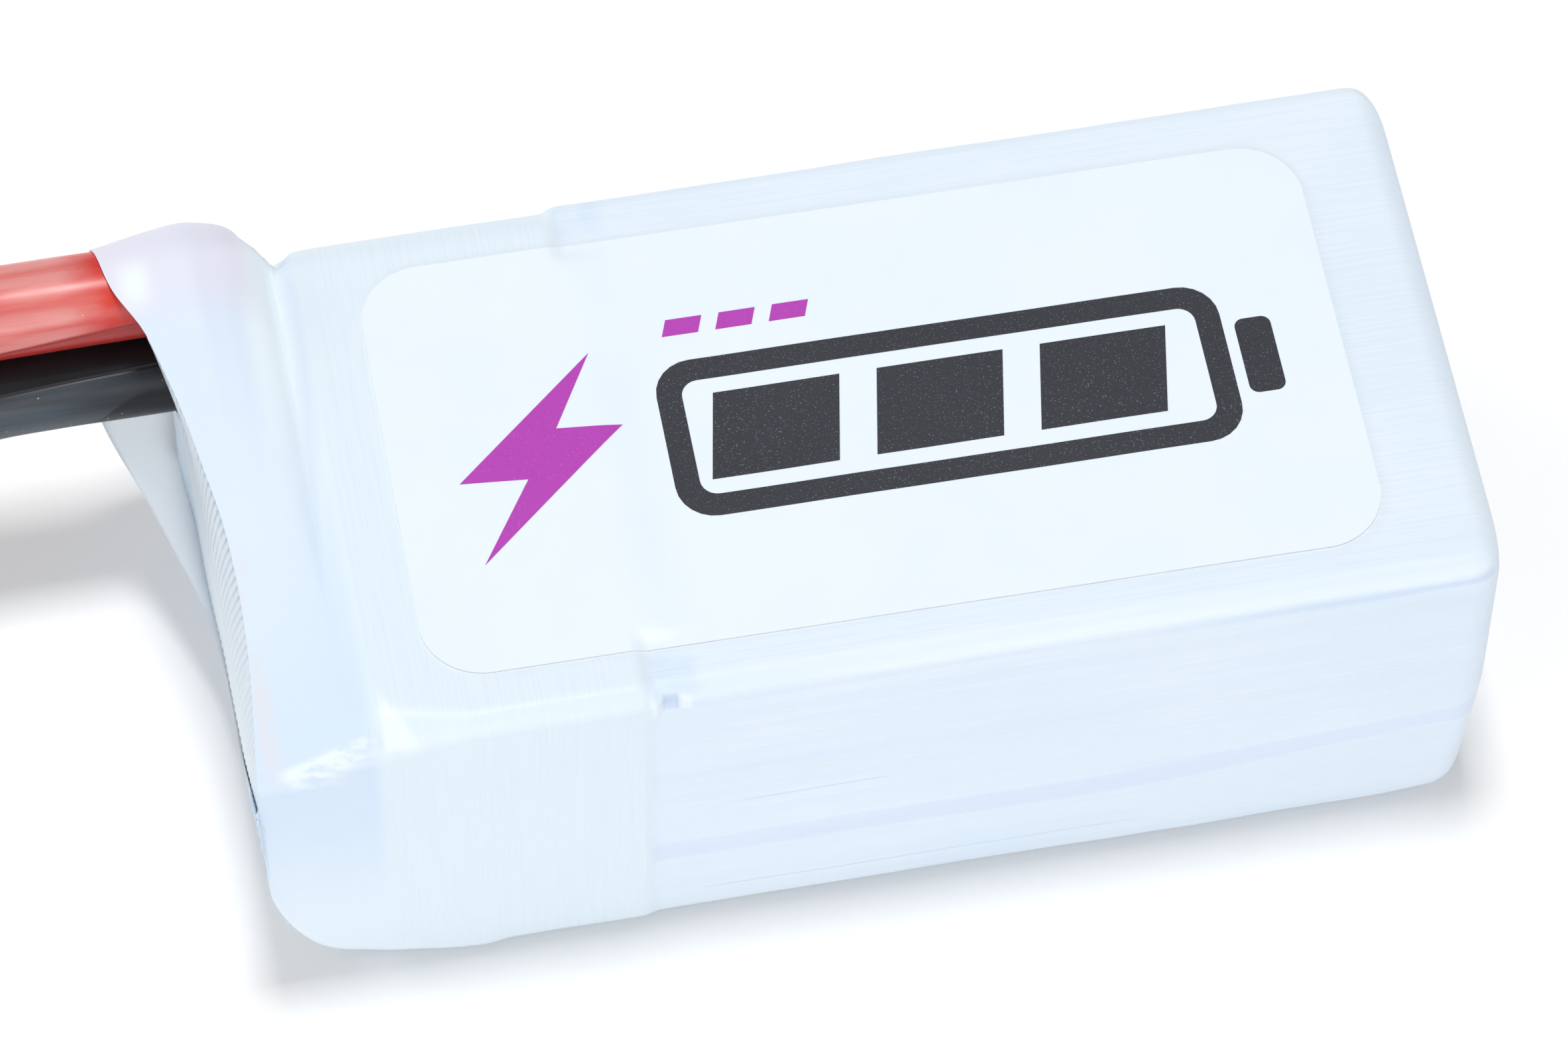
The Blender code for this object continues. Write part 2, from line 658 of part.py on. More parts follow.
build_sleeve()
build_label()
for cell_level, cell_word in enumerate(("bottom", "middle", "top")):
    build_cell("cell_" + cell_word, cell_level)
build_pads()
build_wrap_tape()
build_board()
build_tabs_and_joints()
build_balance_pads()
build_end_cover()
build_lead_sealant()
build_lead_joint("red", RED_AXIS)
build_lead_joint("black", BLACK_AXIS)
build_lead("red_lead", "red_silicone", RED_ROUTE)
build_lead("black_lead", "black_silicone", BLACK_ROUTE)
build_plug()
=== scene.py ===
"""The looks of a three-cell lithium-polymer pack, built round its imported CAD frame.

Shapes are drawn in millimetres in the pack frame: origin at the middle of the cell stack's
base, +X away from the leads, -Y the front, +Z up through the label.  to_world() carries that
frame to the row's own, in metres.
"""
import math

import bmesh
import bpy
import numpy as np
from mathutils import Matrix, Vector, noise


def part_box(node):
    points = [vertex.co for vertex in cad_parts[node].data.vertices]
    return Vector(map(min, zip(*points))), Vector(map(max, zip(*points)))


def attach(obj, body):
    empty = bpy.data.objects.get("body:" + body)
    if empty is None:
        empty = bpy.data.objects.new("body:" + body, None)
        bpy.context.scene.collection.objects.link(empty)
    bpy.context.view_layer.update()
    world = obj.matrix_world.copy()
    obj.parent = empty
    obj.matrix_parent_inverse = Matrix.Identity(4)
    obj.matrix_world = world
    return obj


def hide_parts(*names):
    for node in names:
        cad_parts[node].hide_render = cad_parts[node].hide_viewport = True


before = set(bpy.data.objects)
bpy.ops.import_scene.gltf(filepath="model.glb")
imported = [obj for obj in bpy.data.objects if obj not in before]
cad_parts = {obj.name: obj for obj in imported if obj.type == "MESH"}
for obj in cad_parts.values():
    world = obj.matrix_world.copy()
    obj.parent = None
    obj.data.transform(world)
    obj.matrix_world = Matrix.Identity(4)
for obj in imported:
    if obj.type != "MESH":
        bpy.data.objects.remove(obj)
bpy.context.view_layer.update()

MM = 0.001
SLEEVE_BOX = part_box("shrink_sleeve")
CELL_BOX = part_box("cell_top")
END_X = 28.90                        # the sleeve's closed-over end, in the pack frame
ORIGIN = Vector((SLEEVE_BOX[1].x - END_X * MM, (CELL_BOX[0].y + CELL_BOX[1].y) / 2, 0.0))

# ---- the sleeve (mm, pack frame) ----
HALF_WIDTH = 15.40
TOP_Z = 22.30
SHOULDER_X = -29.0
FILM, COVER_TAPE, WRAP_TAPE, SHRINK_WALL = 0.13, 0.12, 0.12, 0.12
TAPE_X, TAPE_STEP = -15.45, 0.20
TAIL = 6.5                           # from the shoulder to the mouth
MOUTH_DROP = 3.1                     # how far the top comes down on the way
LOWER_LIP_Z = 11.3
FLAP_RISE, FLAP_REACH = 12.4, 9.8    # the back of the lower lip: its height and length
GUSSET_Y, GUSSET_RISE = -7.5, 4.7    # from here to the front the lower lip rises towards the upper one
RIM_X = -35.65                       # the gusset's rim
TURN_Y, TURN_Z = 1.9, 1.3            # how the film turns in at the far end
GAP_HEIGHTS = (7.1, 14.25)           # where the cells meet
TAIL_END = -40.0                     # past the farthest point of the flap
SLEEVE_SIDE, COVER_SIDE = 64, 84     # points along a side of a section
RED_AXIS, BLACK_AXIS = (14.40, 21.20), (13.00, 16.00)
LEAD_RADIUS = 2.40
PLUG_Z, PLUG_Y, POLE_PITCH = 4.05, 14.0, 7.20

# ---- the camera, fitted to the photo's view ----
CAMERA_AT, CAMERA_LENS = (-50.35, -220.24, 369.25), 185.3
CAMERA_ANGLES = (-11.48, 57.79, 0.91)    # azimuth, elevation and roll, in degrees

# Along the mouth: share of each side of the section, and where the film's edge is.
LIP_TOP = [(0, -35.4), (.22, -34.75), (.41, -34.8), (.57, -35.53), (.66, -36.05), (.76, -36.82),
           (.81, -37.27), (.90, -38.53), (1, -39.13)]
LIP_BACK = [(0, -39.13), (.5, -39.6), (1, -39.8)]
LIP_BOTTOM = [(0, -39.9), (.11, -39.85), (.22, -38.05), (.40, -36.0), (.48, -35.65), (.57, -35.5),
              (.78, -35.6), (1, -35.7)]
LIP_FRONT = [(0, -35.7), (.35, -35.6), (.7, -35.45), (1, -35.4)]
# Film radius about the red lead, from the mouth to where it runs out in the shoulder.
LOBE = [(-39.8, 2.54), (-39.0, 2.55), (-37.6, 2.79), (-36.15, 3.03), (-34.75, 3.20), (-33.7, 3.11),
        (-32.05, 2.62), (-30.85, 1.73), (-30.3, 0.92), (-29.8, 0.3)]

# ---- the leads: the same routes as in the CAD ----
RED_ROUTE = [
    (-34.3, 14.4, 21.2), (-38.0, 14.4, 21.2), (-42.0, 14.4, 21.2), (-46.0, 14.45, 20.95),
    (-51.0, 14.7, 19.55), (-57.0, 15.3, 16.3), (-63.0, 16.1, 12.1), (-69.0, 16.8, 8.0),
    (-75.0, 17.35, 4.9), (-80.0, 17.55, 3.2), (-85.0, 17.6, 2.85), (-90.0, 17.6, 3.45),
    (-94.5, 17.6, 4.02), (-99.5, 17.6, 4.05),
]
BLACK_ROUTE = [
    (-34.3, 13.0, 16.0), (-38.0, 13.0, 16.0), (-42.0, 13.0, 16.0), (-46.0, 12.95, 15.8),
    (-51.0, 12.75, 14.7), (-57.0, 12.2, 12.0), (-63.0, 11.5, 8.7), (-69.0, 10.95, 5.7),
    (-75.0, 10.6, 3.65), (-80.0, 10.42, 2.75), (-85.0, 10.4, 2.85), (-90.0, 10.4, 3.45),
    (-94.5, 10.4, 4.02), (-99.5, 10.4, 4.05),
]


# ---- small helpers ----
def to_world(p):
    """A pack-frame point in mm, in the row frame in metres."""
    return ORIGIN + Vector(p) * MM


def ease(low, high, x):
    """0 below low, 1 above high, smooth between."""
    t = np.clip((np.asarray(x, float) - low) / (high - low), 0.0, 1.0)
    return t * t * (3 - 2 * t)


def hump(x, middle, width):
    return np.exp(-((np.asarray(x, float) - middle) / width) ** 2)


def read_table(table, at):
    """A smooth value between the rows of a table of (place, value), by Catmull-Rom."""
    places = [row[0] for row in table]
    if at <= places[0]:
        return table[0][1]
    if at >= places[-1]:
        return table[-1][1]
    k = max(i for i in range(len(table) - 1) if places[i] <= at)
    (x0, y0), (x1, y1) = table[k], table[k + 1]
    before, after = table[max(k - 1, 0)], table[min(k + 2, len(table) - 1)]
    slope0 = (y1 - before[1]) / (x1 - before[0])
    slope1 = (after[1] - y0) / (after[0] - x0)
    t, span = (at - x0) / (x1 - x0), x1 - x0
    return ((2 * t**3 - 3 * t**2 + 1) * y0 + (t**3 - 2 * t**2 + t) * span * slope0
            + (3 * t**2 - 2 * t**3) * y1 + (t**3 - t**2) * span * slope1)


def wander(points, scale, seed=0.0):
    """Smooth noise, about -1 to 1, at points; scale is in mm along x, y, z."""
    sx, sy, sz = scale
    return np.array([noise.noise(Vector((x / sx + seed, y / sy - seed, z / sz + 2 * seed)))
                     for x, y, z in points])


def new_object(name, data, finish=None):
    obj = bpy.data.objects.new(name, data)
    bpy.context.scene.collection.objects.link(obj)
    if finish:
        data.materials.append(finish)
    return obj


def grid_mesh(name, rows, closed_u=False, cap_ends=False):
    """A mesh from rows of points, all rows alike, in pack-frame mm."""
    rows = np.asarray(rows, float)
    count, width = rows.shape[:2]
    verts = [to_world(p) for p in rows.reshape(-1, 3)]
    faces = []
    across = width if closed_u else width - 1
    for i in range(count - 1):
        for j in range(across):
            k = (j + 1) % width
            faces.append((i * width + j, (i + 1) * width + j, (i + 1) * width + k, i * width + k))
    if cap_ends:
        faces.append(tuple(range(width)))
        faces.append(tuple((count - 1) * width + j for j in reversed(range(width))))
    mesh = bpy.data.meshes.new(name)
    mesh.from_pydata([tuple(v) for v in verts], [], faces)
    bm = bmesh.new()
    bm.from_mesh(mesh)
    bmesh.ops.recalc_face_normals(bm, faces=bm.faces)
    bm.to_mesh(mesh)
    bm.free()
    mesh.shade_smooth()
    return mesh


def apply_modifiers(obj):
    """Keep the evaluated mesh, so that no modifier is left."""
    evaluated = obj.evaluated_get(bpy.context.evaluated_depsgraph_get())
    mesh = bpy.data.meshes.new_from_object(evaluated)
    obj.modifiers.clear()
    obj.data = mesh
    return obj


def thicken(obj, thickness, offset=-1.0, rim=0):
    """Give a sheet its thickness in mm; its edge takes the material rim places on."""
    wall = obj.modifiers.new("wall", "SOLIDIFY")
    wall.thickness = thickness * MM
    wall.offset = offset
    wall.material_offset_rim = rim
    apply_modifiers(obj)


def fit(piece, slot, *replaced):
    """Ride the pack's one body and hide the CAD nodes the piece stands for; slot is not used."""
    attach(piece, "root")
    if replaced:
        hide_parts(*replaced)
    return piece


# ---- camera and light ----
def make_camera():
    azimuth, elevation, roll = [math.radians(angle) for angle in CAMERA_ANGLES]
    data = bpy.data.cameras.new("camera")
    data.lens = CAMERA_LENS
    data.sensor_width = 36.0
    data.clip_start = 0.01
    cam = new_object("camera", data)
    turn = Matrix.Rotation(azimuth, 4, "Z") @ Matrix.Rotation(math.pi / 2 - elevation, 4, "X")
    turn = turn @ Matrix.Rotation(roll, 4, "Z")
    cam.matrix_world = Matrix.Translation(to_world(CAMERA_AT)) @ turn
    bpy.context.scene.camera = cam


def make_area_light(name, centre, size, power, aim=(0, 0, 8)):
    """A soft box; centre and aim in pack-frame mm, size in mm, power in watts."""
    data = bpy.data.lights.new(name, "AREA")
    data.shape = "RECTANGLE"
    data.size, data.size_y = size[0] * MM, size[1] * MM
    data.energy = power
    lamp = new_object(name, data)
    lamp.location = to_world(centre)
    direction = to_world(aim) - lamp.location
    lamp.rotation_euler = direction.to_track_quat("-Z", "Y").to_euler()


def make_world(strength):
    world = bpy.data.worlds.new("studio")
    bpy.context.scene.world = world
    world.use_nodes = True
    nodes = world.node_tree.nodes
    background = nodes.get("Background") or nodes.new("ShaderNodeBackground")
    background.inputs["Color"].default_value = (1, 1, 1, 1)
    background.inputs["Strength"].default_value = strength


def make_stage():
    finish = Finish("floor_paper", 0.9)
    grain = finish.noise(2.0, detail=3)
    finish.colour(grain, (0.965, 0.965, 0.965), (0.975, 0.975, 0.975))
    mesh = grid_mesh("floor", [[(x, y, 0) for y in (-900, 900)] for x in (-900, 900)])
    floor = new_object("floor", mesh, finish.material)
    floor.location.z = -0.02 * MM


def make_lights():
    """A soft box overhead, one low in front, a weak one at the left and a strip by the leads."""
    make_world(0.50)
    make_area_light("top_box", (0, 60, 900), (150, 150), 3.8)
    make_area_light("front_box", (0, -620, 170), (460, 260), 1.1)
    make_area_light("left_box", (-380, -360, 210), (220, 220), 0.25)
    make_area_light("side_strip", (-420, 300, 120), (300, 80), 0.6)


# ---- finishes ----
def srgb(*levels):
    """Linear colour from 0-255 display levels."""
    return tuple((v / 255 / 12.92) if v <= 10 else ((v / 255 + 0.055) / 1.055) ** 2.4 for v in levels)


class Finish:
    """A Principled material whose patterns are laid out in pack-frame millimetres."""

    def __init__(self, name, roughness, **sockets):
        self.material = bpy.data.materials.new(name)
        self.material.use_nodes = True
        self.tree = self.material.node_tree
        self.shader = self.tree.nodes["Principled BSDF"]
        self.put(self.shader, Roughness=roughness, **sockets)
        coords = self.add("ShaderNodeTexCoord")
        place = self.add("ShaderNodeMapping", Location=-ORIGIN / MM, Scale=(1 / MM,) * 3)
        self.link(coords.outputs["Object"], place.inputs["Vector"])
        self.where = place.outputs["Vector"]
        self.last_bump = None

    def put(self, node, **values):
        """Set a node's inputs, named with _ for a space."""
        for socket, value in values.items():
            node.inputs[socket.replace("_", " ")].default_value = value
        return node

    def add(self, kind, **values):
        return self.put(self.tree.nodes.new(kind), **values)

    def link(self, source, target):
        self.tree.links.new(source, target)

    def feed(self, value, socket):
        """Link a socket, or set a number."""
        if isinstance(value, bpy.types.NodeSocket):
            self.link(value, socket)
        else:
            socket.default_value = value

    def maths(self, operation, a, b=0.0):
        node = self.add("ShaderNodeMath")
        node.operation = operation
        self.feed(a, node.inputs[0])
        self.feed(b, node.inputs[1])
        return node.outputs[0]

    def plus(self, a, b):
        return self.maths("ADD", a, b)

    def minus(self, a, b):
        return self.maths("SUBTRACT", a, b)

    def product(self, first, *rest):
        for other in rest:
            first = self.maths("MULTIPLY", first, other)
        return first

    def axis(self, index):
        node = self.add("ShaderNodeSeparateXYZ")
        self.link(self.where, node.inputs[0])
        return node.outputs[index]

    def step(self, value, low, high):
        """0 at low to 1 at high; low may be the greater."""
        node = self.add("ShaderNodeMapRange", From_Min=min(low, high), From_Max=max(low, high),
                        To_Min=float(low > high), To_Max=float(low <= high))
        node.interpolation_type = "SMOOTHSTEP"
        self.feed(value, node.inputs["Value"])
        return node.outputs["Result"]

    def band(self, value, low, high, soft):
        """1 between low and high, with soft edges."""
        rise = self.step(value, low - soft, low + soft)
        return self.product(rise, self.step(value, high + soft, high - soft))

    def noise(self, size, detail=2.0, stretch=(1, 1, 1), lo=0.0, hi=1.0):
        """Noise of a size in mm, stretched along x, y, z; lo..hi becomes 0..1."""
        place = self.add("ShaderNodeMapping", Scale=[1 / (size * s) for s in stretch])
        self.link(self.where, place.inputs["Vector"])
        node = self.add("ShaderNodeTexNoise", Scale=1.0, Detail=detail)
        self.link(place.outputs["Vector"], node.inputs["Vector"])
        if (lo, hi) == (0.0, 1.0):
            return node.outputs["Fac"]
        return self.step(node.outputs["Fac"], lo, hi)

    def mottle(self, size, detail, stretch=(1, 1, 1)):
        """Soft patches, 0 to 1."""
        return self.noise(size, detail, stretch, lo=0.3, hi=0.7)

    def mix(self, share, a, b):
        """Between two colours, or two numbers, by share."""
        node = self.add("ShaderNodeMix")
        node.data_type = "RGBA"
        self.feed(share, node.inputs[0])
        for value, socket in ((a, node.inputs[6]), (b, node.inputs[7])):
            self.feed(value if isinstance(value, bpy.types.NodeSocket) else (*value, 1.0), socket)
        return node.outputs[2]

    def tint(self, base, colour, *shares):
        """A base moved towards a colour by the product of the shares."""
        return self.mix(self.product(*shares), base, colour)

    def colour(self, share, a, b):
        self.base(self.mix(share, a, b))

    def base(self, socket):
        self.link(socket, self.shader.inputs["Base Color"])

    def rough(self, share, low, high):
        """Roughness between low and high by share."""
        node = self.add("ShaderNodeMapRange", To_Min=low, To_Max=high)
        self.feed(share, node.inputs["Value"])
        self.link(node.outputs["Result"], self.shader.inputs["Roughness"])

    def let_light_through(self, share, colour):
        """A share of the surface scatters light from its other side, as a thin film does."""
        thin = self.add("ShaderNodeBsdfTranslucent", Color=(*colour, 1.0))
        both = self.add("ShaderNodeMixShader")
        self.link(share, both.inputs[0])
        self.link(self.shader.outputs[0], both.inputs[1])
        self.link(thin.outputs[0], both.inputs[2])
        self.link(both.outputs[0], self.tree.nodes["Material Output"].inputs["Surface"])

    def bump(self, height, depth):
        """Relief of a depth in mm; further ones add to it."""
        node = self.add("ShaderNodeBump", Distance=depth * MM)
        self.link(height, node.inputs["Height"])
        if self.last_bump:
            self.link(self.last_bump, node.inputs["Normal"])
        self.last_bump = node.outputs["Normal"]
        self.link(self.last_bump, self.shader.inputs["Normal"])


FILM_PALE = srgb(222, 233, 243)
FILM_BLUE = srgb(218, 231, 243)
FILM_GREENISH = srgb(220, 233, 240)
FILM_LILAC_BLUE = srgb(209, 223, 240)
# painted shade over the cell gaps, and a random streak tone on the front
FILM_GAP_SHADE_AND_STREAK = srgb(210, 223, 243)
FILM_OVER_RED = srgb(221, 220, 234)
FILM_WARM = srgb(218, 219, 224)
FILM_TAIL_FRONT = srgb(203, 220, 240)
FILM_STREAK = srgb(213, 227, 241)
# the next three are painted light: shade, highlight, and the shade in creases and the pocket
FILM_PAINTED_SHADE = srgb(200, 217, 241)
FILM_PAINTED_HIGHLIGHT = srgb(234, 242, 246)
FILM_CREASE_AND_POCKET_SHADE = srgb(188, 204, 230)
# painted light: lifts the shaded valley beside the red lead's lobe
FILM_VALLEY_PAINTED_LIGHT = srgb(232, 243, 249)
# the flap's base and wrinkles are painted light and painted highlight; FLAP_LIGHT is its translucent
# colour
FLAP_PAINTED_LIGHT, FLAP_PAINTED_HIGHLIGHT, FLAP_LIGHT = srgb(246, 250, 253), srgb(250, 252, 254), srgb(243, 247, 250)


def film_places(f):
    """The pack-frame coordinates, and shares for over the tape, past it and on the front."""
    x, y, z = f.axis(0), f.axis(1), f.axis(2)
    over_tape = f.product(f.step(x, TAPE_X + 0.3, TAPE_X - 0.3), f.step(x, -29.4, -28.6))
    past_tape = f.step(x, TAPE_X - 0.2, TAPE_X + 0.3)
    front = f.step(y, -14.6, -15.1)
    return x, y, z, over_tape, past_tape, front


def add_gap_bands(f, base, x, y, z, past_tape):
    """The hollows between the cells show as uneven bluish bands of painted shade."""
    on_side = f.step(f.maths("ABSOLUTE", y), 14.6, 15.1)
    waver = f.minus(f.noise(6.0, 3, (3, 1, 1)), 0.5)
    height = f.minus(f.plus(z, waver), f.product(f.step(x, 8, 28), 1.2))
    lower = f.band(height, 6.0, 7.6, 0.15)
    upper = f.band(height, 13.7, 14.9, 0.5)
    # painted shade: the darker bands over the hollows between the cells
    painted_gap_shade = f.plus(f.product(lower, 0.7), f.product(upper, 0.25))
    return f.tint(base, FILM_GAP_SHADE_AND_STREAK, painted_gap_shade, on_side, past_tape)


def add_front_marks(f, base, x, y, z, front):
    """Creases with painted shade, and the ridge along the top front edge with a painted highlight and the
    painted shade under it.
    """
    broad = f.noise(0.8, 2, (34, 1, 1), lo=0.42, hi=0.62)
    base = f.tint(base, FILM_GAP_SHADE_AND_STREAK, broad, front, f.step(x, -16, -13), 0.22)
    sway = f.product(f.minus(f.noise(3.0, 2, (3, 1, 1)), 0.5), 0.35)
    height = f.plus(z, sway)
    # painted shade: dark lines along a crease and a seam line on the front
    crease = f.product(f.band(height, 11.0, 11.12, 0.05), f.band(x, -10.7, -3.1, 0.8))
    seam = f.product(f.band(height, 2.5, 2.6, 0.05), f.band(x, -12.5, 10.0, 1.5))
    base = f.tint(base, FILM_CREASE_AND_POCKET_SHADE, f.plus(crease, seam), front, 0.6)
    # painted shade under the ridge
    shade = f.product(f.band(height, 20.9, 21.5, 0.3), f.step(x, 6, 24), front)
    base = f.tint(base, FILM_PAINTED_SHADE, shade, 0.8)
    # painted highlight along the ridge
    ridge = f.product(f.band(z, 21.7, 22.05, 0.12), f.step(y, -14.3, -14.8), f.step(x, -8, 6))
    return f.tint(base, FILM_PAINTED_HIGHLIGHT, ridge, 0.3)


def add_corner_marks(f, base, x, y, z):
    """Painted highlights on the facets and folds at the front shoulder and on creases past the tape, and
    painted shade in the pinched pocket and the pools past the tape.
    """
    # painted highlights on the pale facet and along the fold at the front shoulder
    slant = f.plus(y, f.product(x, 1.8))
    facet = f.product(f.step(slant, -63.8, -64.8), f.step(x, -29.0, -28.7), f.step(y, -12.0, -12.6),
                      f.band(z, 21.3, 22.8, 0.3))
    fold = f.product(f.band(x, -34.1, -29.5, 0.5), f.band(y, -15.4, -14.6, 0.2), f.step(z, 18.4, 19.2),
                     f.noise(0.8, 3, (2.5, 1, 1), lo=0.35, hi=0.6))
    base = f.tint(base, FILM_PAINTED_HIGHLIGHT, f.plus(facet, fold), 0.8)
    near_edge = f.product(f.step(y, -14.1, -14.6), f.band(z, 21.0, 21.9, 0.15))
    # painted highlights on the creases either side of the pocket
    creases = f.plus(f.band(x, -15.3, -14.9, 0.1), f.band(x, -13.8, -13.3, 0.15))
    creases = f.product(creases, near_edge)
    base = f.tint(base, FILM_PAINTED_HIGHLIGHT, creases, 0.7)
    # painted shade in the pinched pocket
    pocket = f.product(f.band(x, -14.75, -13.95, 0.08), near_edge)
    base = f.tint(base, FILM_CREASE_AND_POCKET_SHADE, pocket, 0.8)
    # painted shade in bluish pools by the label's edges, just past the tape step
    edges = f.plus(f.step(y, 12.4, 13.4), f.step(y, -12.4, -13.4))
    pool = f.product(f.band(x, -15.3, -12.8, 0.5), edges, f.step(z, 21.6, 22.1),
                     f.noise(1.5, 2, lo=0.3, hi=0.6))
    return f.tint(base, FILM_PAINTED_SHADE, pool, 0.45)


def add_tail_marks(f, base, x, y, z):
    """The tail: bluer to the front, lilac over the red lead, a warm streak by the lip, painted light in
    the valley by the lobe and a painted highlight on the lobe's top.
    """
    tail = f.step(x, -28.8, -29.8)
    base = f.tint(base, FILM_LILAC_BLUE, tail, f.step(y, -16, 8), 0.8)
    base = f.tint(base, FILM_TAIL_FRONT, tail, f.step(y, 1, -14), f.step(z, 4, 19), 0.75)
    # painted light: the valley beside the lobe is lightened against its shade
    painted_valley_light = f.product(f.band(x, -32.0, -29.6, 0.6), f.step(y, -4, 9), f.step(z, 17, 19))
    base = f.tint(base, FILM_VALLEY_PAINTED_LIGHT, painted_valley_light, 0.85)
    ry = f.minus(y, RED_AXIS[0])
    rz = f.minus(z, RED_AXIS[1])
    reach = f.maths("SQRT", f.plus(f.product(ry, ry), f.product(rz, rz)))
    over_red = f.product(f.step(reach, 5.3, 2.5), f.step(x, -30.2, -32.4), f.step(z, 18.5, 21.5))
    base = f.mix(over_red, base, FILM_OVER_RED)
    # painted highlight on top of the lobe near the mouth
    pale = f.product(f.band(x, -38.0, -36.6, 0.6), f.band(y, 12.0, 14.2, 1.0), f.step(z, 21.5, 23.0))
    base = f.tint(base, FILM_PAINTED_HIGHLIGHT, pale, 0.8)
    warm = f.product(f.band(x, -34.9, -34.0, 0.3), f.band(y, -15.0, -2.5, 1.5), f.step(z, 16.5, 18),
                     f.noise(2.0, 2, (1, 2, 1), lo=0.35, hi=0.6))
    return f.tint(base, FILM_WARM, warm, 0.75)


def film_finish():
    """Milky pale blue shrink film, tinted by what lies under it, with fine streaks, painted shade and
    highlights on its marks, and painted light on its flap.
    """
    f = Finish("shrink_film", 0.45, Coat_Weight=0.03, Coat_Roughness=0.2, Specular_IOR_Level=0.3)
    x, y, z, over_tape, past_tape, front = film_places(f)
    base = f.mix(f.mottle(9.0, 3, (1.6, 1, 1)), FILM_PALE, FILM_BLUE)
    base = f.tint(base, FILM_GREENISH, over_tape, 0.55)
    base = add_tail_marks(f, base, x, y, z)
    base = add_gap_bands(f, base, x, y, z, past_tape)
    base = add_front_marks(f, base, x, y, z, front)
    base = add_corner_marks(f, base, x, y, z)
    streak_x = f.noise(0.22, 2, (26, 1, 1), lo=0.35, hi=0.7)
    streak_round = f.noise(0.22, 2, (1, 30, 30), lo=0.35, hi=0.7)
    base = f.tint(base, FILM_STREAK, streak_x, past_tape, 0.22)
    base = f.tint(base, FILM_STREAK, streak_round, over_tape, 0.25)
    # painted light: the flap's shaded inside is given a whiter base than the rest of the film
    flap = f.product(f.step(x, -33.5, -37.2), f.step(z, 17.5, 11.5), f.step(y, -11.0, -5.0))
    base = f.mix(flap, base, FLAP_PAINTED_LIGHT)
    # painted highlights on the flap's wrinkles
    wrinkle = f.noise(2.4, 2, (1, 2.5, 1), lo=0.52, hi=0.70)
    base = f.tint(base, FLAP_PAINTED_HIGHLIGHT, flap, wrinkle)
    f.base(base)
    f.rough(f.noise(1.4, 4, (3, 1, 1)), 0.40, 0.58)
    streaks = f.plus(f.product(streak_x, past_tape), f.product(streak_round, over_tape))
    f.bump(streaks, 0.010)
    f.bump(f.noise(0.35, 3), 0.006)
    f.let_light_through(f.product(flap, 0.85), FLAP_LIGHT)
    return f.material


# ---- the sleeve ----
def tape_share(x):
    """1 over the wrap tape, 0 past it."""
    return ease(TAPE_X + 0.5, TAPE_X - 0.5, x)


def tail_share(x):
    """How far down the slope from the shoulder to the mouth."""
    return min(max((SHOULDER_X - x) / TAIL, 0.0), 1.0)


def discs(x, inset_y, inset_z):
    """The section's film is stretched round these discs: (y, z, radius)."""
    share = float(tape_share(x))
    half = HALF_WIDTH + TAPE_STEP * share - inset_y
    out = tail_share(x)
    top = TOP_Z + TAPE_STEP * share - MOUTH_DROP * out - inset_z
    near_shoulder = float(np.clip((-24.6 - x) / 4.3, 0, 1)) * (1 - float(ease(0.0, 0.25, out)))
    front_top = 1.3 + 1.2 * near_shoulder + 1.0 * math.sin(math.pi * out) + 0.8 * inset_z
    back_top = 0.8 + 1.4 * share + 0.8 * inset_z
    front_low = 1.3 + 1.3 * float(hump(x, -29.5, 3.0)) + 0.5 * float(ease(23.5, 28.5, x))
    back_low = 1.3 + 1.2 * out + 0.6 * float(ease(23.5, 28.5, x))
    rise_front = LOWER_LIP_Z * (1 - math.sqrt(1 - out * out)) + inset_z
    rise_back = FLAP_RISE * max((SHOULDER_X - 0.8 - x) / FLAP_REACH, 0.0) ** 1.6 + inset_z
    found = [
        (-half + front_top + 0.35 * out, top - front_top, front_top),
        (-half + front_low, rise_front + front_low, front_low),
        (half - back_low + 1.0 * out, rise_back + back_low, back_low),
        (half - back_top - 0.4 * out, top - back_top, back_top),
    ]
    if x < SHOULDER_X:
        found.append((*RED_AXIS, read_table(LOBE, x)))
        front_y, back_y = found[1][0], found[2][0]
        line = rise_front + (rise_back - rise_front) * (GUSSET_Y - front_y) / (back_y - front_y)
        found.append((GUSSET_Y, line + 0.5, 0.5))
        lift = GUSSET_RISE * float(ease(-35.2, RIM_X, x))
        found[1] = (front_y, rise_front + lift + front_low, front_low)
    return np.array(found)


def section(x, fractions, inset_y=0.0, inset_z=0.0):
    """Points round the hull of the discs, side by side: top, back, bottom, front."""
    steps = 720
    angles = np.arange(steps) * 2 * math.pi / steps
    normals = np.stack([np.cos(angles), np.sin(angles)], 1)
    around = discs(x, inset_y, inset_z)
    support = normals @ around[:, :2].T + around[:, 2]
    best = around[support.argmax(1)]
    hull = best[:, :2] + best[:, 2:] * normals
    quarter = steps // 4
    points = []
    for start in (quarter + quarter // 2, quarter // 2, -quarter // 2, -quarter - quarter // 2):
        side = hull[(start - np.arange(quarter + 1)) % steps]
        lengths = np.concatenate([[0.0], np.cumsum(np.linalg.norm(np.diff(side, axis=0), axis=1))])
        want = fractions * lengths[-1]
        points.append(np.stack([np.interp(want, lengths, side[:, k]) for k in (0, 1)], 1))
    return np.concatenate(points)


def side_fractions(count):
    """Places along one side, close together at the rounded corners."""
    t = np.arange(count) / count
    return t - 0.75 * np.sin(2 * math.pi * t) / (2 * math.pi)


def end_tuck(z):
    """How much shorter the lower cells leave the far end."""
    return np.interp(z, (0.0, 1.5, 4.0, 7.0, 10.0, 30.0), (1.2, 0.75, 0.55, 0.25, 0.05, 0.0))


def top_wave(x, y):
    """Gentle waves of the film on the top face."""
    points = np.stack([x, y, np.zeros_like(x)], 1)
    return 0.05 * wander(points, (13, 9, 9), 3.1) + 0.02 * wander(points, (4, 6, 9), 7.7)


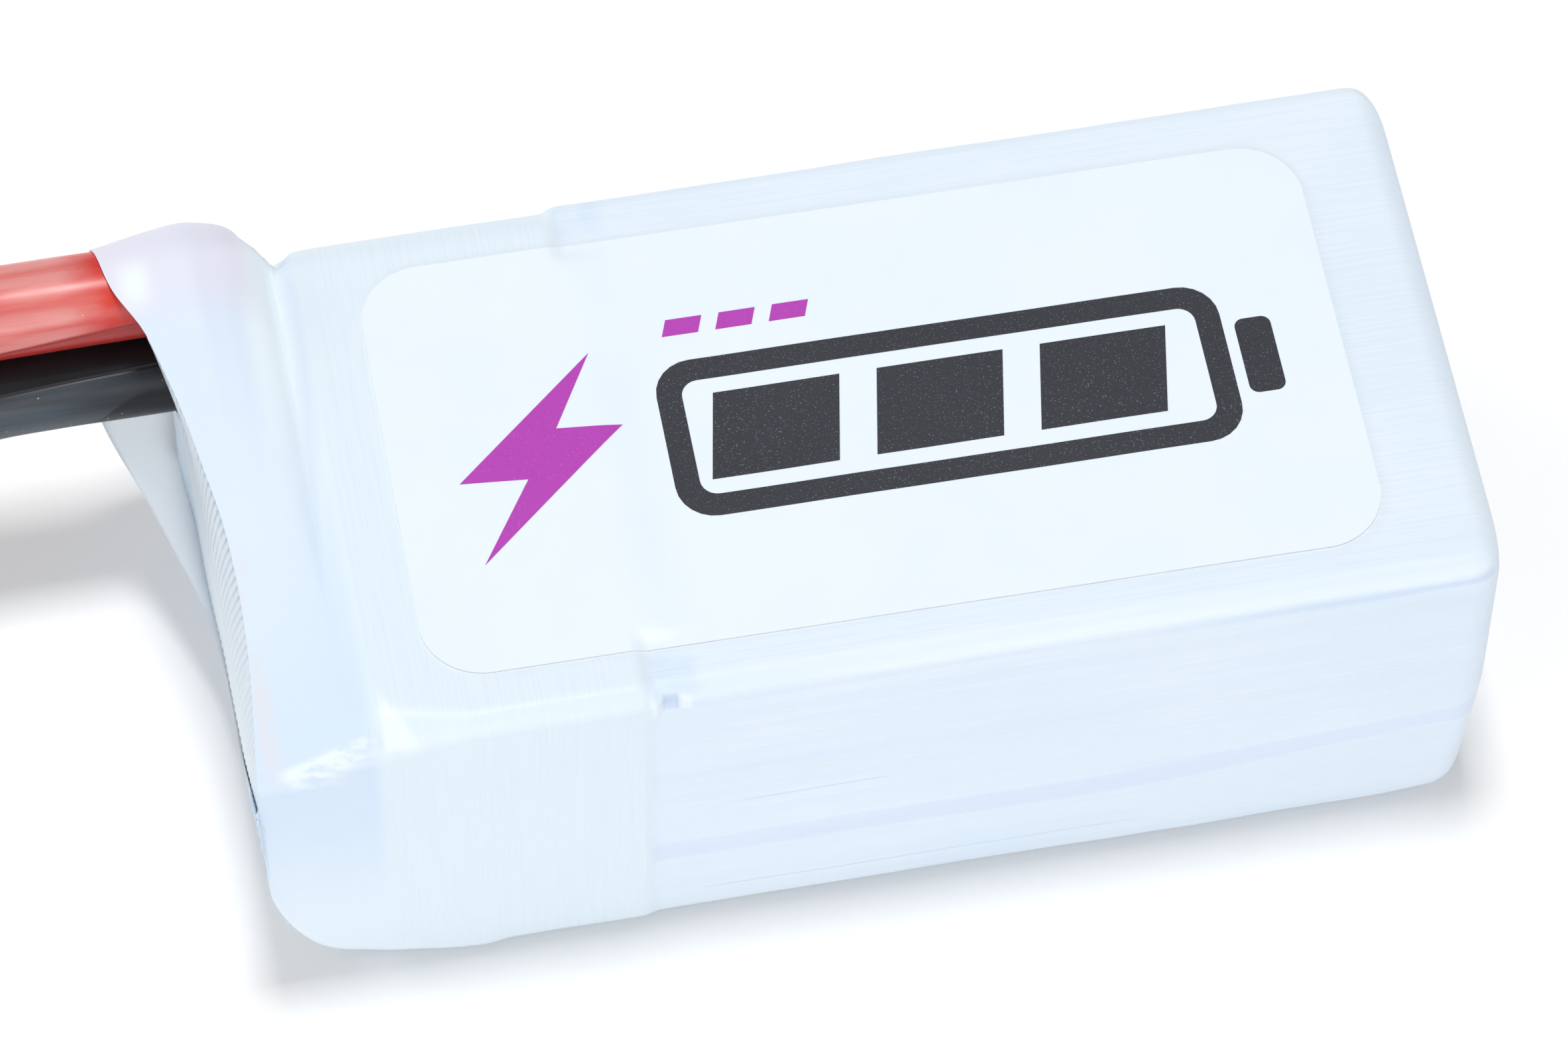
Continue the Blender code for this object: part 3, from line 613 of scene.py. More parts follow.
def relief(p, normal):
    """How far the film stands off its plain section, in mm, at points p with section normals."""
    x, y, z = p.T
    ny, nz = normal.T
    front, back = ease(0.55, 0.95, -ny), ease(0.55, 0.95, ny)
    top = ease(0.75, 0.98, nz)
    past_tape = ease(-15.5, -14.8, x)
    far = ease(20.0, 28.0, x)
    gap_wander = 1 + 0.4 * wander(p, (7, 40, 40), 1.3)
    depth = 0.09 * hump(z, GAP_HEIGHTS[0], 0.9) + 0.06 * hump(z, GAP_HEIGHTS[1], 0.9)
    d = -depth * (front + back) * (0.12 + 0.88 * past_tape) * (1 + 1.3 * far) * gap_wander
    below_top = TOP_Z - z
    corner = ease(0.2, 0.7, -ny)
    bead = ease(-10.0, 2.0, x) * (0.35 + 0.65 * far)
    d += 0.16 * hump(below_top, 0.75, 0.32) * bead * corner
    d -= 0.20 * hump(below_top, 2.1, 0.8) * bead * corner * (0.4 + 0.6 * far)
    d -= 0.42 * hump(x, -14.35, 0.5) * hump(below_top, 0.85, 0.5) * corner
    d += 0.16 * hump(x, -15.15, 0.22) * hump(below_top, 0.9, 0.7) * corner
    d += 0.12 * hump(x, -13.5, 0.2) * hump(below_top, 0.9, 0.5) * corner
    d -= 0.30 * hump(x, -29.35, 0.3) * hump(z, 21.7, 0.4) * corner
    fold = ease(-34.6, -33.0, x) * ease(-28.8, -30.0, x)
    d += fold * (0.14 * hump(ny, -0.62, 0.16) - 0.16 * hump(ny, -0.30, 0.14))
    low_front = ease(0.1, 0.6, -ny)
    d += 0.18 * ease(-31.0, -28.5, x) * ease(-22.8, -24.4, x) * hump(z, 0.9, 1.4) * low_front
    d -= 1.2 * hump(x, -30.4, 0.9) * ease(0.2, 0.6, ny) * ease(0.0, 0.5, nz)
    side_wave = 0.07 * wander(p, (11, 30, 5), 5.5) + 0.03 * wander(p, (3, 30, 2.2), 9.1)
    d += side_wave * (front + back) * ease(-36.0, -30.0, x)
    d += top_wave(x, y) * top * ease(-31.0, -28.0, x)
    return d


def sleeve_rows():
    """Rows of points from the far window to the mouth, and how much relief each row takes."""
    fractions = side_fractions(SLEEVE_SIDE)
    stations = [(END_X - 0.30, 6.2, 5.2), (END_X - 0.12, 5.6, 4.7), (END_X, 5.0, 4.2), (END_X, 4.0, 2.9)]
    for degrees in range(90, -1, -9):
        angle = math.radians(degrees)
        x = END_X - TURN_Y * (1 - math.sin(angle))
        flat = max(x - (END_X - TURN_Z), 0.0)
        inset_z = TURN_Z - math.sqrt(max(TURN_Z**2 - flat**2, 0.0))
        stations.append((x, TURN_Y * (1 - math.cos(angle)), inset_z))
    body = np.concatenate([np.arange(25.5, -14.4, -0.5), np.arange(-14.6, -16.3, -0.1),
                           np.arange(-16.6, -28.6, -0.4), np.arange(-28.7, -29.01, -0.1)])
    stations += [(x, 0.0, 0.0) for x in body]
    rows = [np.column_stack([np.full(4 * len(fractions), x), section(x, fractions, a, b)])
            for x, a, b in stations]
    tables = (LIP_TOP, LIP_BACK, LIP_BOTTOM, LIP_FRONT)
    lip = np.array([read_table(table, f) for table in tables for f in fractions])
    grid = np.linspace(SHOULDER_X, TAIL_END, 150)
    loft = np.array([section(x, fractions) for x in grid])
    tail_steps = 46
    for k in range(1, tail_steps + 1):
        x = SHOULDER_X + (lip - SHOULDER_X) * math.sin(math.pi / 2 * k / tail_steps)
        at = (SHOULDER_X - x) / (SHOULDER_X - grid[-1]) * (len(grid) - 1)
        low = np.clip(at.astype(int), 0, len(grid) - 2)
        t = (at - low)[:, None]
        index = np.arange(len(lip))
        rows.append(np.column_stack([x, loft[low, index] * (1 - t) + loft[low + 1, index] * t]))
    rows = np.array(rows)
    share = ease(END_X - 0.4, END_X - 3.0, rows[:, :, 0])
    return rows, share


def build_sleeve():
    rows, share = sleeve_rows()
    along = np.roll(rows, -1, 1) - np.roll(rows, 1, 1)
    normal = np.stack([-along[:, :, 2], along[:, :, 1]], 2)
    normal /= np.linalg.norm(normal, axis=2, keepdims=True) + 1e-9
    if normal[30, 10, 1] < 0:
        normal = -normal
    offset = relief(rows.reshape(-1, 3), normal.reshape(-1, 2)).reshape(share.shape) * share
    rows[:, :, 1:] += normal * offset[:, :, None]
    rows[:, :, 0] -= end_tuck(rows[:, :, 2]) * ease(16.0, END_X, rows[:, :, 0])
    rows[:, :, 2] = np.maximum(rows[:, :, 2], 0.0)
    sleeve = new_object("film_sleeve", grid_mesh("film_sleeve", rows, closed_u=True), film_finish())
    thicken(sleeve, FILM)
    fit(sleeve, "film", "shrink_sleeve")


# ---- the label ----
LABEL_MIDDLE, LABEL_TURN = (-1.33, -0.12), math.radians(-0.32)
LABEL_HALF, LABEL_RADIUS = (24.8, 12.45), 3.3
LABEL_PAPER, INK, INK_LIFT = 0.10, 0.02, 0.012


def label_height(x, y):
    """The film under the label, with the tape's step bridged by the stiffer paper."""
    edge = ease(11.2, 12.2, np.abs(y))
    share = ease(-12.0, -15.4, x) * (1 - edge) + tape_share(x) * edge
    return TOP_Z + TAPE_STEP * share + top_wave(x, y)


def on_label(u, v, lift):
    """From the label's own flat coordinates to the pack frame."""
    u, v = np.asarray(u, float), np.asarray(v, float)
    c, s = math.cos(LABEL_TURN), math.sin(LABEL_TURN)
    x, y = LABEL_MIDDLE[0] + c * u - s * v, LABEL_MIDDLE[1] + s * u + c * v
    return np.stack([x, y, label_height(x, y) + lift], -1)


def label_finish():
    f = Finish("label_paper", 0.42, Specular_IOR_Level=0.4)
    f.colour(f.mottle(5.0, 4), srgb(228, 238, 247), srgb(226, 236, 246))
    f.rough(f.noise(0.8, 3), 0.36, 0.5)
    f.bump(f.noise(0.25, 3, (4, 1, 1)), 0.004)
    return f.material


def cut_edge_finish():
    f = Finish("label_cut_edge", 0.8)
    f.colour(f.noise(1.2, 3), srgb(218, 212, 214), srgb(232, 232, 238))
    return f.material


def build_label():
    half_u, half_v = LABEL_HALF
    u = half_u * np.sin(np.linspace(-math.pi / 2, math.pi / 2, 140))
    u = np.unique(np.concatenate([u, np.arange(-15.0, -12.4, 0.1)]))
    into = np.maximum(np.abs(u) - (half_u - LABEL_RADIUS), 0.0)
    edge = half_v - LABEL_RADIUS + np.sqrt(np.maximum(LABEL_RADIUS**2 - into**2, 0.0))
    v = np.sin(np.linspace(-math.pi / 2, math.pi / 2, 50))
    uu = np.repeat(u[:, None], len(v), 1)
    vv = edge[:, None] * v[None, :]
    flat = on_label(uu.ravel(), vv.ravel(), LABEL_PAPER).reshape(len(u), len(v), 3)
    label = new_object("label_paper", grid_mesh("label_paper", flat), label_finish())
    label.data.materials.append(cut_edge_finish())
    thicken(label, LABEL_PAPER, rim=1)
    fit(label, "label", "label_sticker")


def print_finish(name, ink, speck, share):
    """Printed ink with the fine pale specks of a thermal print."""
    f = Finish(name, 0.38, Specular_IOR_Level=0.4)
    specks = f.noise(0.09, 1, lo=share, hi=share + 0.10)
    f.colour(specks, ink, speck)
    f.bump(f.noise(0.12, 2), 0.003)
    return f.material


def slanted(u0, u1, v0, v1, lean=0.18):
    """A slanted block: its corners lean to the right as they rise."""
    return [(u0 + lean * v0, v0), (u1 + lean * v0, v0), (u1 + lean * v1, v1), (u0 + lean * v1, v1)]


def frame_outline(u0, u1, v0, v1, radius, steps=6):
    """A rounded rectangle, anticlockwise."""
    points = []
    for cu, cv, start in ((u1 - radius, v0 + radius, -90), (u1 - radius, v1 - radius, 0),
                          (u0 + radius, v1 - radius, 90), (u0 + radius, v0 + radius, 180)):
        for k in range(steps + 1):
            a = math.radians(start + 90 * k / steps)
            points.append((cu + radius * math.cos(a), cv + radius * math.sin(a)))
    return points


def build_print(name, outlines, finish):
    """A printed shape from flat outlines, cut fine enough to follow the label."""
    curve = bpy.data.curves.new(name, "CURVE")
    curve.dimensions = "2D"
    curve.fill_mode = "FRONT"
    for outline in outlines:
        spline = curve.splines.new("POLY")
        spline.points.add(len(outline) - 1)
        for point, (u, v) in zip(spline.points, outline):
            point.co = (u, v, 0, 1)
        spline.use_cyclic_u = True
    shape = bpy.data.objects.new(name + "_outline", curve)
    mesh = bpy.data.meshes.new_from_object(shape)
    bpy.data.objects.remove(shape)
    bm = bmesh.new()
    bm.from_mesh(mesh)
    bmesh.ops.remove_doubles(bm, verts=bm.verts, dist=1e-5)
    cuts = [(u, 0) for u in np.arange(-24.0, 24.1, 1.5)] + [(-14.1 + 0.12 * k, 0) for k in range(-2, 10)]
    cuts += [(v, 1) for v in np.arange(-9.0, 9.1, 1.5)]
    for place, axis in cuts:
        across = Vector((1 - axis, axis, 0))
        whole = bm.verts[:] + bm.edges[:] + bm.faces[:]
        bmesh.ops.bisect_plane(bm, geom=whole, plane_co=across * place, plane_no=across)
    flat = np.array([vert.co for vert in bm.verts])
    for vert, place in zip(bm.verts, on_label(flat[:, 0], flat[:, 1], LABEL_PAPER + INK_LIFT)):
        vert.co = to_world(place)
    bmesh.ops.recalc_face_normals(bm, faces=bm.faces)
    bm.to_mesh(mesh)
    bm.free()
    ink = new_object(name, mesh, finish)
    if ink.data.polygons[0].normal.z < 0:
        ink.data.flip_normals()
    thicken(ink, INK)
    fit(ink, "label")


def build_graphic():
    """A generic sign for stored charge: a bolt, then a three-cell battery."""
    purple = print_finish("purple_ink", srgb(176, 58, 176), srgb(196, 96, 196), 0.66)
    graphite = print_finish("graphite_ink", srgb(44, 46, 54), srgb(104, 108, 118), 0.63)
    bolt = [(-20.9, -6.2), (-12.6, 1.0), (-16.0, 1.3), (-13.6, 5.6), (-21.4, -1.2), (-17.9, -1.5)]
    build_print("print_bolt", [bolt], purple)
    pips = [slanted(u, u + 1.9, 6.0, 7.0, 0.35) for u in (-11.8, -9.0, -6.2)]
    build_print("print_pips", pips, purple)
    outer = frame_outline(-10.6, 18.9, -5.2, 4.4, 2.0)
    inner = frame_outline(-9.3, 17.6, -3.9, 3.1, 0.9)
    build_print("print_case", [outer, inner[::-1]], graphite)
    build_print("print_terminal", [frame_outline(19.5, 21.4, -2.7, 1.9, 0.5)], graphite)
    bars = [slanted(u, u + 6.6, -3.0, 2.2) for u in (-8.1, 0.45, 9.0)]
    build_print("print_bars", bars, graphite)


# ---- what closes the mouth ----
RIB_PITCH, RIB_LEAN, RIB_DEPTH = 0.55, 0.22, 0.09


def end_cover_finish():
    """Ribbed tape with painted shade: each rib pale on one side and grey-blue down the other."""
    f = Finish("ribbed_tape", 0.4, Coat_Weight=0.2, Coat_Roughness=0.2)
    y, z = f.axis(1), f.axis(2)
    phase = f.maths("DIVIDE", f.plus(y, f.product(z, RIB_LEAN)), RIB_PITCH)
    phase = f.maths("FRACT", f.plus(phase, 40.0))
    # painted shade down one side of each rib, only towards the top
    shade = f.product(f.step(phase, 0.25, 0.8), f.step(phase, 1.0, 0.9))
    shade = f.product(shade, f.noise(1.6, 2, lo=0.25, hi=0.5), f.step(z, 12.5, 16.5))
    f.colour(shade, srgb(217, 230, 240), srgb(180, 197, 216))
    f.bump(f.noise(0.3, 3), 0.008)
    return f.material


def film_heights_at(x, y):
    """Heights of the film's outside above and below a point of the mouth."""
    ring = section(x, side_fractions(COVER_SIDE))
    top, bottom = ring[:COVER_SIDE], ring[2 * COVER_SIDE:3 * COVER_SIDE][::-1]
    return np.interp(y, top[:, 0], top[:, 1]), np.interp(y, bottom[:, 0], bottom[:, 1])


def build_end_cover():
    """The ribbed tape over the tab board, from the upper lip into the lower one."""
    rows = []
    for y in np.arange(-15.40, 13.6, 0.05):
        lip_x = read_table(LIP_TOP, (y + 15.2) / 31.6)
        upper = film_heights_at(lip_x + 0.15, y)[0] - FILM - 0.09
        upper -= 0.45 * float(ease(-14.6, -15.15, y))
        if y < -15.1:
            upper = min(upper, 18.2 + 17.0 * (y + 15.1))
        if y > BLACK_AXIS[0] - 2.75:
            upper = BLACK_AXIS[1] - math.sqrt(2.8**2 - (y - BLACK_AXIS[0]) ** 2)
        lower_x = -35.30 - 0.2 * float(ease(-2.0, 5.0, y)) - 0.3 * float(ease(8.0, 13.0, y))
        lower = film_heights_at(lower_x - 0.2, y)[1] + 0.06 + 0.4 * float(ease(0.0, -8.0, y))
        lower = max(lower, film_heights_at(RIM_X, y)[1] - 0.5)
        z = np.linspace(upper, lower, 40)
        share = np.ones_like(z)
        if upper > 16:
            share = np.clip((upper - z) / (upper - 15.5), 0.0, 1.0)
        x = lip_x + 0.15 + (lower_x - lip_x - 0.15) * np.sin(share * math.pi / 2)
        phase = ((y + RIB_LEAN * z) / RIB_PITCH + 40) % 1.0
        x = x - RIB_DEPTH * (ease(0.0, 0.55, phase) - ease(0.6, 1.0, phase)) * ease(0.0, 0.1, share)
        rows.append(np.stack([x, np.full_like(z, y), z], 1))
    cover = new_object("ribbed_cover", grid_mesh("ribbed_cover", rows), end_cover_finish())
    thicken(cover, COVER_TAPE, offset=0.0)
    fit(cover, "tape", "end_cover_tape")


# ---- the leads ----
def along_route(route, spacing):
    """Evenly spaced points on a smooth curve through the route."""
    points = [Vector(p) for p in route]
    fine = []
    for i in range(len(points) - 1):
        p0, p1, p2 = points[max(i - 1, 0)], points[i], points[i + 1]
        p3 = points[min(i + 2, len(points) - 1)]
        for k in range(20):
            t = k / 20
            fine.append(0.5 * (2 * p1 + (p2 - p0) * t + (2 * p0 - 5 * p1 + 4 * p2 - p3) * t**2
                               + (3 * p1 - p0 - 3 * p2 + p3) * t**3))
    fine = np.array(fine + [points[-1]])
    lengths = np.concatenate([[0.0], np.cumsum(np.linalg.norm(np.diff(fine, axis=0), axis=1))])
    want = np.linspace(0.0, lengths[-1], round(lengths[-1] / spacing) + 1)
    return np.stack([np.interp(want, lengths, fine[:, k]) for k in range(3)], 1), lengths[-1]


def round_rows(points, radii, sides=40):
    """Rings of a round piece along points, without twist."""
    tangents = np.gradient(points, axis=0)
    tangents /= np.linalg.norm(tangents, axis=1, keepdims=True)
    up = np.array([0.0, 0.0, 1.0])
    angles = np.arange(sides) * 2 * math.pi / sides
    rows = []
    for p, t, r in zip(points, tangents, radii):
        up = up - t * up.dot(t)
        up /= np.linalg.norm(up)
        side = np.cross(t, up)
        rows.append(p + r * (np.cos(angles)[:, None] * side + np.sin(angles)[:, None] * up))
    return np.array(rows)


def unwrap_tube(mesh, rings, sides, length):
    """UVs of a tube: distance along in mm, and angle round as 0 to 1."""
    layer = mesh.uv_layers.new(name="along_and_round")
    for face in mesh.polygons:
        columns = [mesh.loops[i].vertex_index % sides for i in face.loop_indices]
        seam = 0 in columns and sides - 1 in columns
        for i, column in zip(face.loop_indices, columns):
            ring = mesh.loops[i].vertex_index // sides
            turn = 1.0 if seam and column == 0 else column / sides
            layer.data[i].uv = (length * ring / (rings - 1), turn)


def lead_coordinates(f):
    """Distance along the lead in mm, and the angle round it as 0 to 1."""
    uv = f.add("ShaderNodeUVMap")
    uv.uv_map = "along_and_round"
    parts = f.add("ShaderNodeSeparateXYZ")
    f.link(uv.outputs["UV"], parts.inputs[0])
    return parts.outputs[0], parts.outputs[1]


def finish_lead(f, base, line, painted_highlight, highlight_colour, speck):
    """Lay the painted highlight, the crease's painted shade and the dust over a lead's colour."""
    # the lead's painted highlight
    base = f.mix(painted_highlight, base, highlight_colour)
    # painted shade along the crease line
    near = f.step(f.maths("ABSOLUTE", line), 0.010, 0.0)
    base = f.tint(base, (0.02, 0.008, 0.01), near, 0.5)
    dust = f.noise(0.30, 1, lo=0.78, hi=0.83)
    base = f.tint(base, speck, dust, 0.8)
    f.base(base)
    f.rough(f.noise(1.6, 4, (4, 1, 1)), 0.26, 0.46)
    f.bump(f.noise(3.5, 3, (3, 1, 1)), 0.08)
    f.bump(near, -0.04)
    f.bump(f.noise(0.3, 2, (3, 1, 1)), 0.005)
    return f.material


def red_lead_finish():
    """Red silicone; a dull pink painted highlight starts a little way out of the film, with painted shade
    along its underside.
    """
    f = Finish("red_silicone", 0.3, Coat_Weight=0.15, Coat_Roughness=0.25, Specular_IOR_Level=0.4)
    along, turn = lead_coordinates(f)
    base = f.mix(f.mottle(2.2, 3, (5, 1, 1)), (0.56, 0.020, 0.014), (0.68, 0.045, 0.028))
    line = f.minus(turn, f.plus(f.product(along, 0.0076), 0.438))
    # painted shade along the lead's underside
    below = f.product(f.step(line, -0.003, 0.003), f.step(turn, 0.62, 0.58))
    base = f.tint(base, (0.25, 0.012, 0.010), below, 0.55)
    # painted highlight: pink streaks on the upper side, from a little way out of the film
    wobble = f.product(f.noise(1.5, 3, (2, 1, 1)), 3.0)
    out = f.step(f.plus(along, wobble), 5.8, 8.4)
    streaks = f.noise(0.7, 3, (12, 1, 1), lo=0.2, hi=0.7)
    fade = f.plus(f.product(f.step(along, 18, 9), 0.8), 0.2)
    painted_highlight = f.product(out, f.plus(f.product(streaks, 0.5), 0.18), f.step(line, 0.0, -0.02), fade)
    return finish_lead(f, base, line, painted_highlight, (0.76, 0.38, 0.36), (0.85, 0.55, 0.50))


def black_lead_finish():
    """Black silicone: its front carries a grey-blue painted reflection, cut away near the film."""
    f = Finish("black_silicone", 0.3, Coat_Weight=0.05, Coat_Roughness=0.25, Specular_IOR_Level=0.22)
    along, turn = lead_coordinates(f)
    base = f.mix(f.mottle(2.2, 3, (5, 1, 1)), (0.006, 0.007, 0.009), (0.014, 0.016, 0.020))
    line = f.minus(turn, f.plus(f.product(along, 0.0035), 0.325))
    # where the painted reflection is cut away near the film
    beyond = f.maths("MAXIMUM", f.minus(along, 2.75), 0.0)
    reflection_cut_edge = f.plus(f.product(beyond, beyond, 0.0141), 0.412)
    reflection_cut = f.product(f.step(f.minus(turn, reflection_cut_edge), 0.0, 0.018), f.step(along, 7.0, 6.0))
    # painted reflection: grey-blue streaks down the lead's front
    streaks = f.noise(0.8, 3, (12, 1, 1), lo=0.25, hi=0.7)
    share = f.plus(f.product(f.step(along, 1.0, 9.0), 0.20), 0.06)
    share = f.product(share, f.plus(f.product(streaks, 0.6), 0.4), f.step(line, -0.003, 0.004))
    painted_highlight = f.product(share, f.minus(1.0, f.product(reflection_cut, 0.9)), f.step(turn, 0.75, 0.60))
    return finish_lead(f, base, line, painted_highlight, (0.22, 0.27, 0.33), (0.35, 0.40, 0.44))


def build_lead(name, node, route, finish, slot):
    points, length = along_route(route, 0.5)
    radii = np.full(len(points), LEAD_RADIUS)
    radii += 0.035 * wander(points, (5, 5, 5), 2.2)
    rows = round_rows(points, radii)
    mesh = grid_mesh(name, rows, closed_u=True, cap_ends=True)
    unwrap_tube(mesh, len(rows), rows.shape[1], length)
    lead = new_object(name, mesh, finish)
    fit(lead, slot, node)


def shrink_finish(name, dark, light):
    f = Finish(name, 0.35, Coat_Weight=0.2, Coat_Roughness=0.2)
    f.colour(f.mottle(1.5, 3), dark, light)
    f.rough(f.noise(0.5, 3), 0.28, 0.45)
    f.bump(f.noise(0.9, 3, (1, 3, 3)), 0.05)
    f.bump(f.noise(0.12, 2), 0.006)
    return f.material


def build_heat_shrink(colour, y, finish):
    """Tube shrunk over the solder cup and down on to the lead, with a soft wavy rim."""
    low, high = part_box(colour + "_heat_shrink")
    x_low, x_high = (low.x - ORIGIN.x) / MM, (high.x - ORIGIN.x) / MM
    x = np.linspace(x_low, x_high, 60)
    on_lead = ease(x_low + 5.0, x_low + 7.2, x)
    radii = 2.92 - 0.36 * on_lead + 0.05 * np.sin(x * 2.6) * on_lead
    points = np.stack([x, np.full_like(x, y), np.full_like(x, PLUG_Z)], 1)
    rows = round_rows(points, radii)
    name = colour + "_shrink_tube"
    tube = new_object(name, grid_mesh(name, rows, closed_u=True), finish)
    thicken(tube, SHRINK_WALL)
    return fit(tube, colour + "_shrink", colour + "_heat_shrink")


# ---- the plug ----
def plug_finish():
    """Moulded nylon: warm yellow with a fine satin grain."""
    f = Finish("yellow_nylon", 0.42)
    f.colour(f.mottle(3.0, 4), (0.78, 0.48, 0.02), (0.85, 0.56, 0.035))
    f.rough(f.noise(0.6, 4), 0.34, 0.5)
    f.bump(f.noise(0.16, 3), 0.012)
    return f.material


def build_plug():
    """The plug's body, from the CAD's, with its edges eased."""
    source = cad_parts["plug_housing"].data
    bm = bmesh.new()
    bm.from_mesh(source)
    bmesh.ops.remove_doubles(bm, verts=bm.verts, dist=1e-6)
    bmesh.ops.dissolve_limit(bm, angle_limit=math.radians(1), verts=bm.verts, edges=bm.edges)
    mesh = bpy.data.meshes.new("plug_body")
    bm.to_mesh(mesh)
    bm.free()
    body = new_object("plug_body", mesh, plug_finish())
    edges = body.modifiers.new("edges", "BEVEL")
    edges.width = 0.35 * MM
    edges.segments = 3
    edges.limit_method = "ANGLE"
    edges.angle_limit = math.radians(35)
    edges.harden_normals = True
    apply_modifiers(body)
    return fit(body, "nylon", "plug_housing")


# ---- the cells ----
POUCH_START, POUCH_ENDS, POUCH_ROUND = -28.4, (26.0, 27.45, 28.15), 1.8


def pouch_finish():
    """Satin silver laminate with fine rolling lines and soft dents."""
    f = Finish("pouch_foil", 0.36, Metallic=0.85)
    lines = f.noise(0.12, 2, (40, 1, 1))
    f.colour(f.mottle(4.0, 3), (0.60, 0.61, 0.64), (0.70, 0.71, 0.73))
    f.rough(lines, 0.28, 0.46)
    f.bump(f.noise(3.0, 3), 0.12)
    f.bump(lines, 0.006)
    return f.material


def oblong(half_a, half_b, radius, steps=3):
    return frame_outline(-half_a, half_a, -half_b, half_b, radius, steps)


def add_pouch_part(name, rows, finish, *replaced):
    mesh = grid_mesh(name, rows, closed_u=True, cap_ends=True)
    fit(new_object(name, mesh, finish), "pouch", *replaced)


def build_cell(word, level, finish):
    """A pouch cell: a rounded cup, its folded side seals and the sealed terrace."""
    low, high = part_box("cell_" + word)
    z_low, z_high = low.z / MM, high.z / MM
    middle, half = (z_low + z_high) / 2, (z_high - z_low) / 2
    start, end = POUCH_START, POUCH_ENDS[level]
    rows = []
    for x in np.concatenate([start + 1.6 * (1 - np.cos(np.linspace(0, math.pi / 2, 9))),
                             np.arange(start + 2.4, end - 2.4, 1.2),
                             end - POUCH_ROUND * (1 - np.sin(np.linspace(0, math.pi / 2, 11)))]):
        near = max(start + 1.6 - x, x - (end - POUCH_ROUND), 0.0)
        inset = POUCH_ROUND - math.sqrt(max(POUCH_ROUND**2 - near**2, 0.0))
        outline = oblong(14.3 - 0.8 * inset, half - 0.7 * inset, 1.5 - 0.4 * min(inset, 1.0), 8)
        rows.append([(x, a, middle + b) for a, b in outline])
    rows = np.array(rows)
    dents = wander(rows.reshape(-1, 3), (8, 6, 6), 4.0 + level).reshape(rows.shape[:2]) ** 2
    rows[:, :, 2] -= 0.10 * dents
    add_pouch_part("pouch_" + word, rows, finish, "cell_" + word)
    for side, side_word in ((-1, "front"), (1, "back")):
        strip = []
        for x in np.arange(start + 1.0, end - 0.8, 0.8):
            sway = 0.04 * math.sin(x * 1.7 + level)
            strip.append([(x, side * (14.55 + a + sway), middle + b) for a, b in oblong(0.13, 1.9, 0.12)])
        add_pouch_part("pouch_%s_%s_seal" % (word, side_word), strip, finish)
    terrace = [[(x, a, middle + b) for a, b in oblong(12.9, 0.12, 0.1)]
               for x in np.linspace(start - 2.1, start + 0.6, 6)]
    add_pouch_part("pouch_%s_terrace" % word, terrace, finish)


def build_wrap_tape(finish):
    """The tape band round the lead end of the stack, just inside the film."""
    fractions = side_fractions(30)
    rows = []
    for x in np.linspace(-28.3, -15.9, 14):
        ring = section(x, fractions, 0.34, 0.34)
        rows.append([(x, y, z) for y, z in ring])
    band = new_object("tape_band", grid_mesh("tape_band", rows, closed_u=True), finish)
    thicken(band, WRAP_TAPE)
    fit(band, "tape", "wrap_tape")


# ---- finishes of the CAD nodes that stay ----
def tape_finish():
    f = Finish("white_tape", 0.5)
    f.colour(f.mottle(2.0, 3), srgb(222, 230, 236), srgb(232, 238, 242))
    f.bump(f.noise(0.25, 2, (1, 20, 20)), 0.01)
    return f.material


def foam_finish():
    f = Finish("white_foam", 0.9)
    cells = f.noise(0.35, 3, lo=0.35, hi=0.65)
    f.colour(cells, (0.80, 0.80, 0.77), (0.90, 0.90, 0.88))
    f.bump(cells, 0.08)
    return f.material


def metal_finish(name, dull, clean, roughness, scratch, brushed=(1, 1, 1)):
    """Bare metal with slight tarnish and fine lines."""
    f = Finish(name, roughness, Metallic=1.0)
    f.colour(f.mottle(1.3, 4), dull, clean)
    f.rough(f.noise(0.4, 3, brushed), roughness - 0.08, roughness + 0.14)
    f.bump(f.noise(scratch, 3, brushed), 0.012)
    return f.material


def board_finish():
    """Green solder mask over woven glass."""
    f = Finish("green_board", 0.35, Coat_Weight=0.3, Coat_Roughness=0.15)
    weave_y, weave_z = f.noise(0.35, 1, (1, 1, 12)), f.noise(0.35, 1, (1, 12, 1))
    weave = f.maths("MULTIPLY", f.plus(weave_y, weave_z), 0.5)
    f.colour(weave, (0.012, 0.10, 0.045), (0.03, 0.18, 0.08))
    f.bump(weave, 0.02)
    return f.material


def sealant_finish():
    f = Finish("pale_sealant", 0.38, Coat_Weight=0.3, Coat_Roughness=0.15)
    f.colour(f.mottle(1.8, 4), srgb(205, 214, 222), srgb(226, 232, 238))
    f.bump(f.noise(1.0, 3), 0.15)
    return f.material


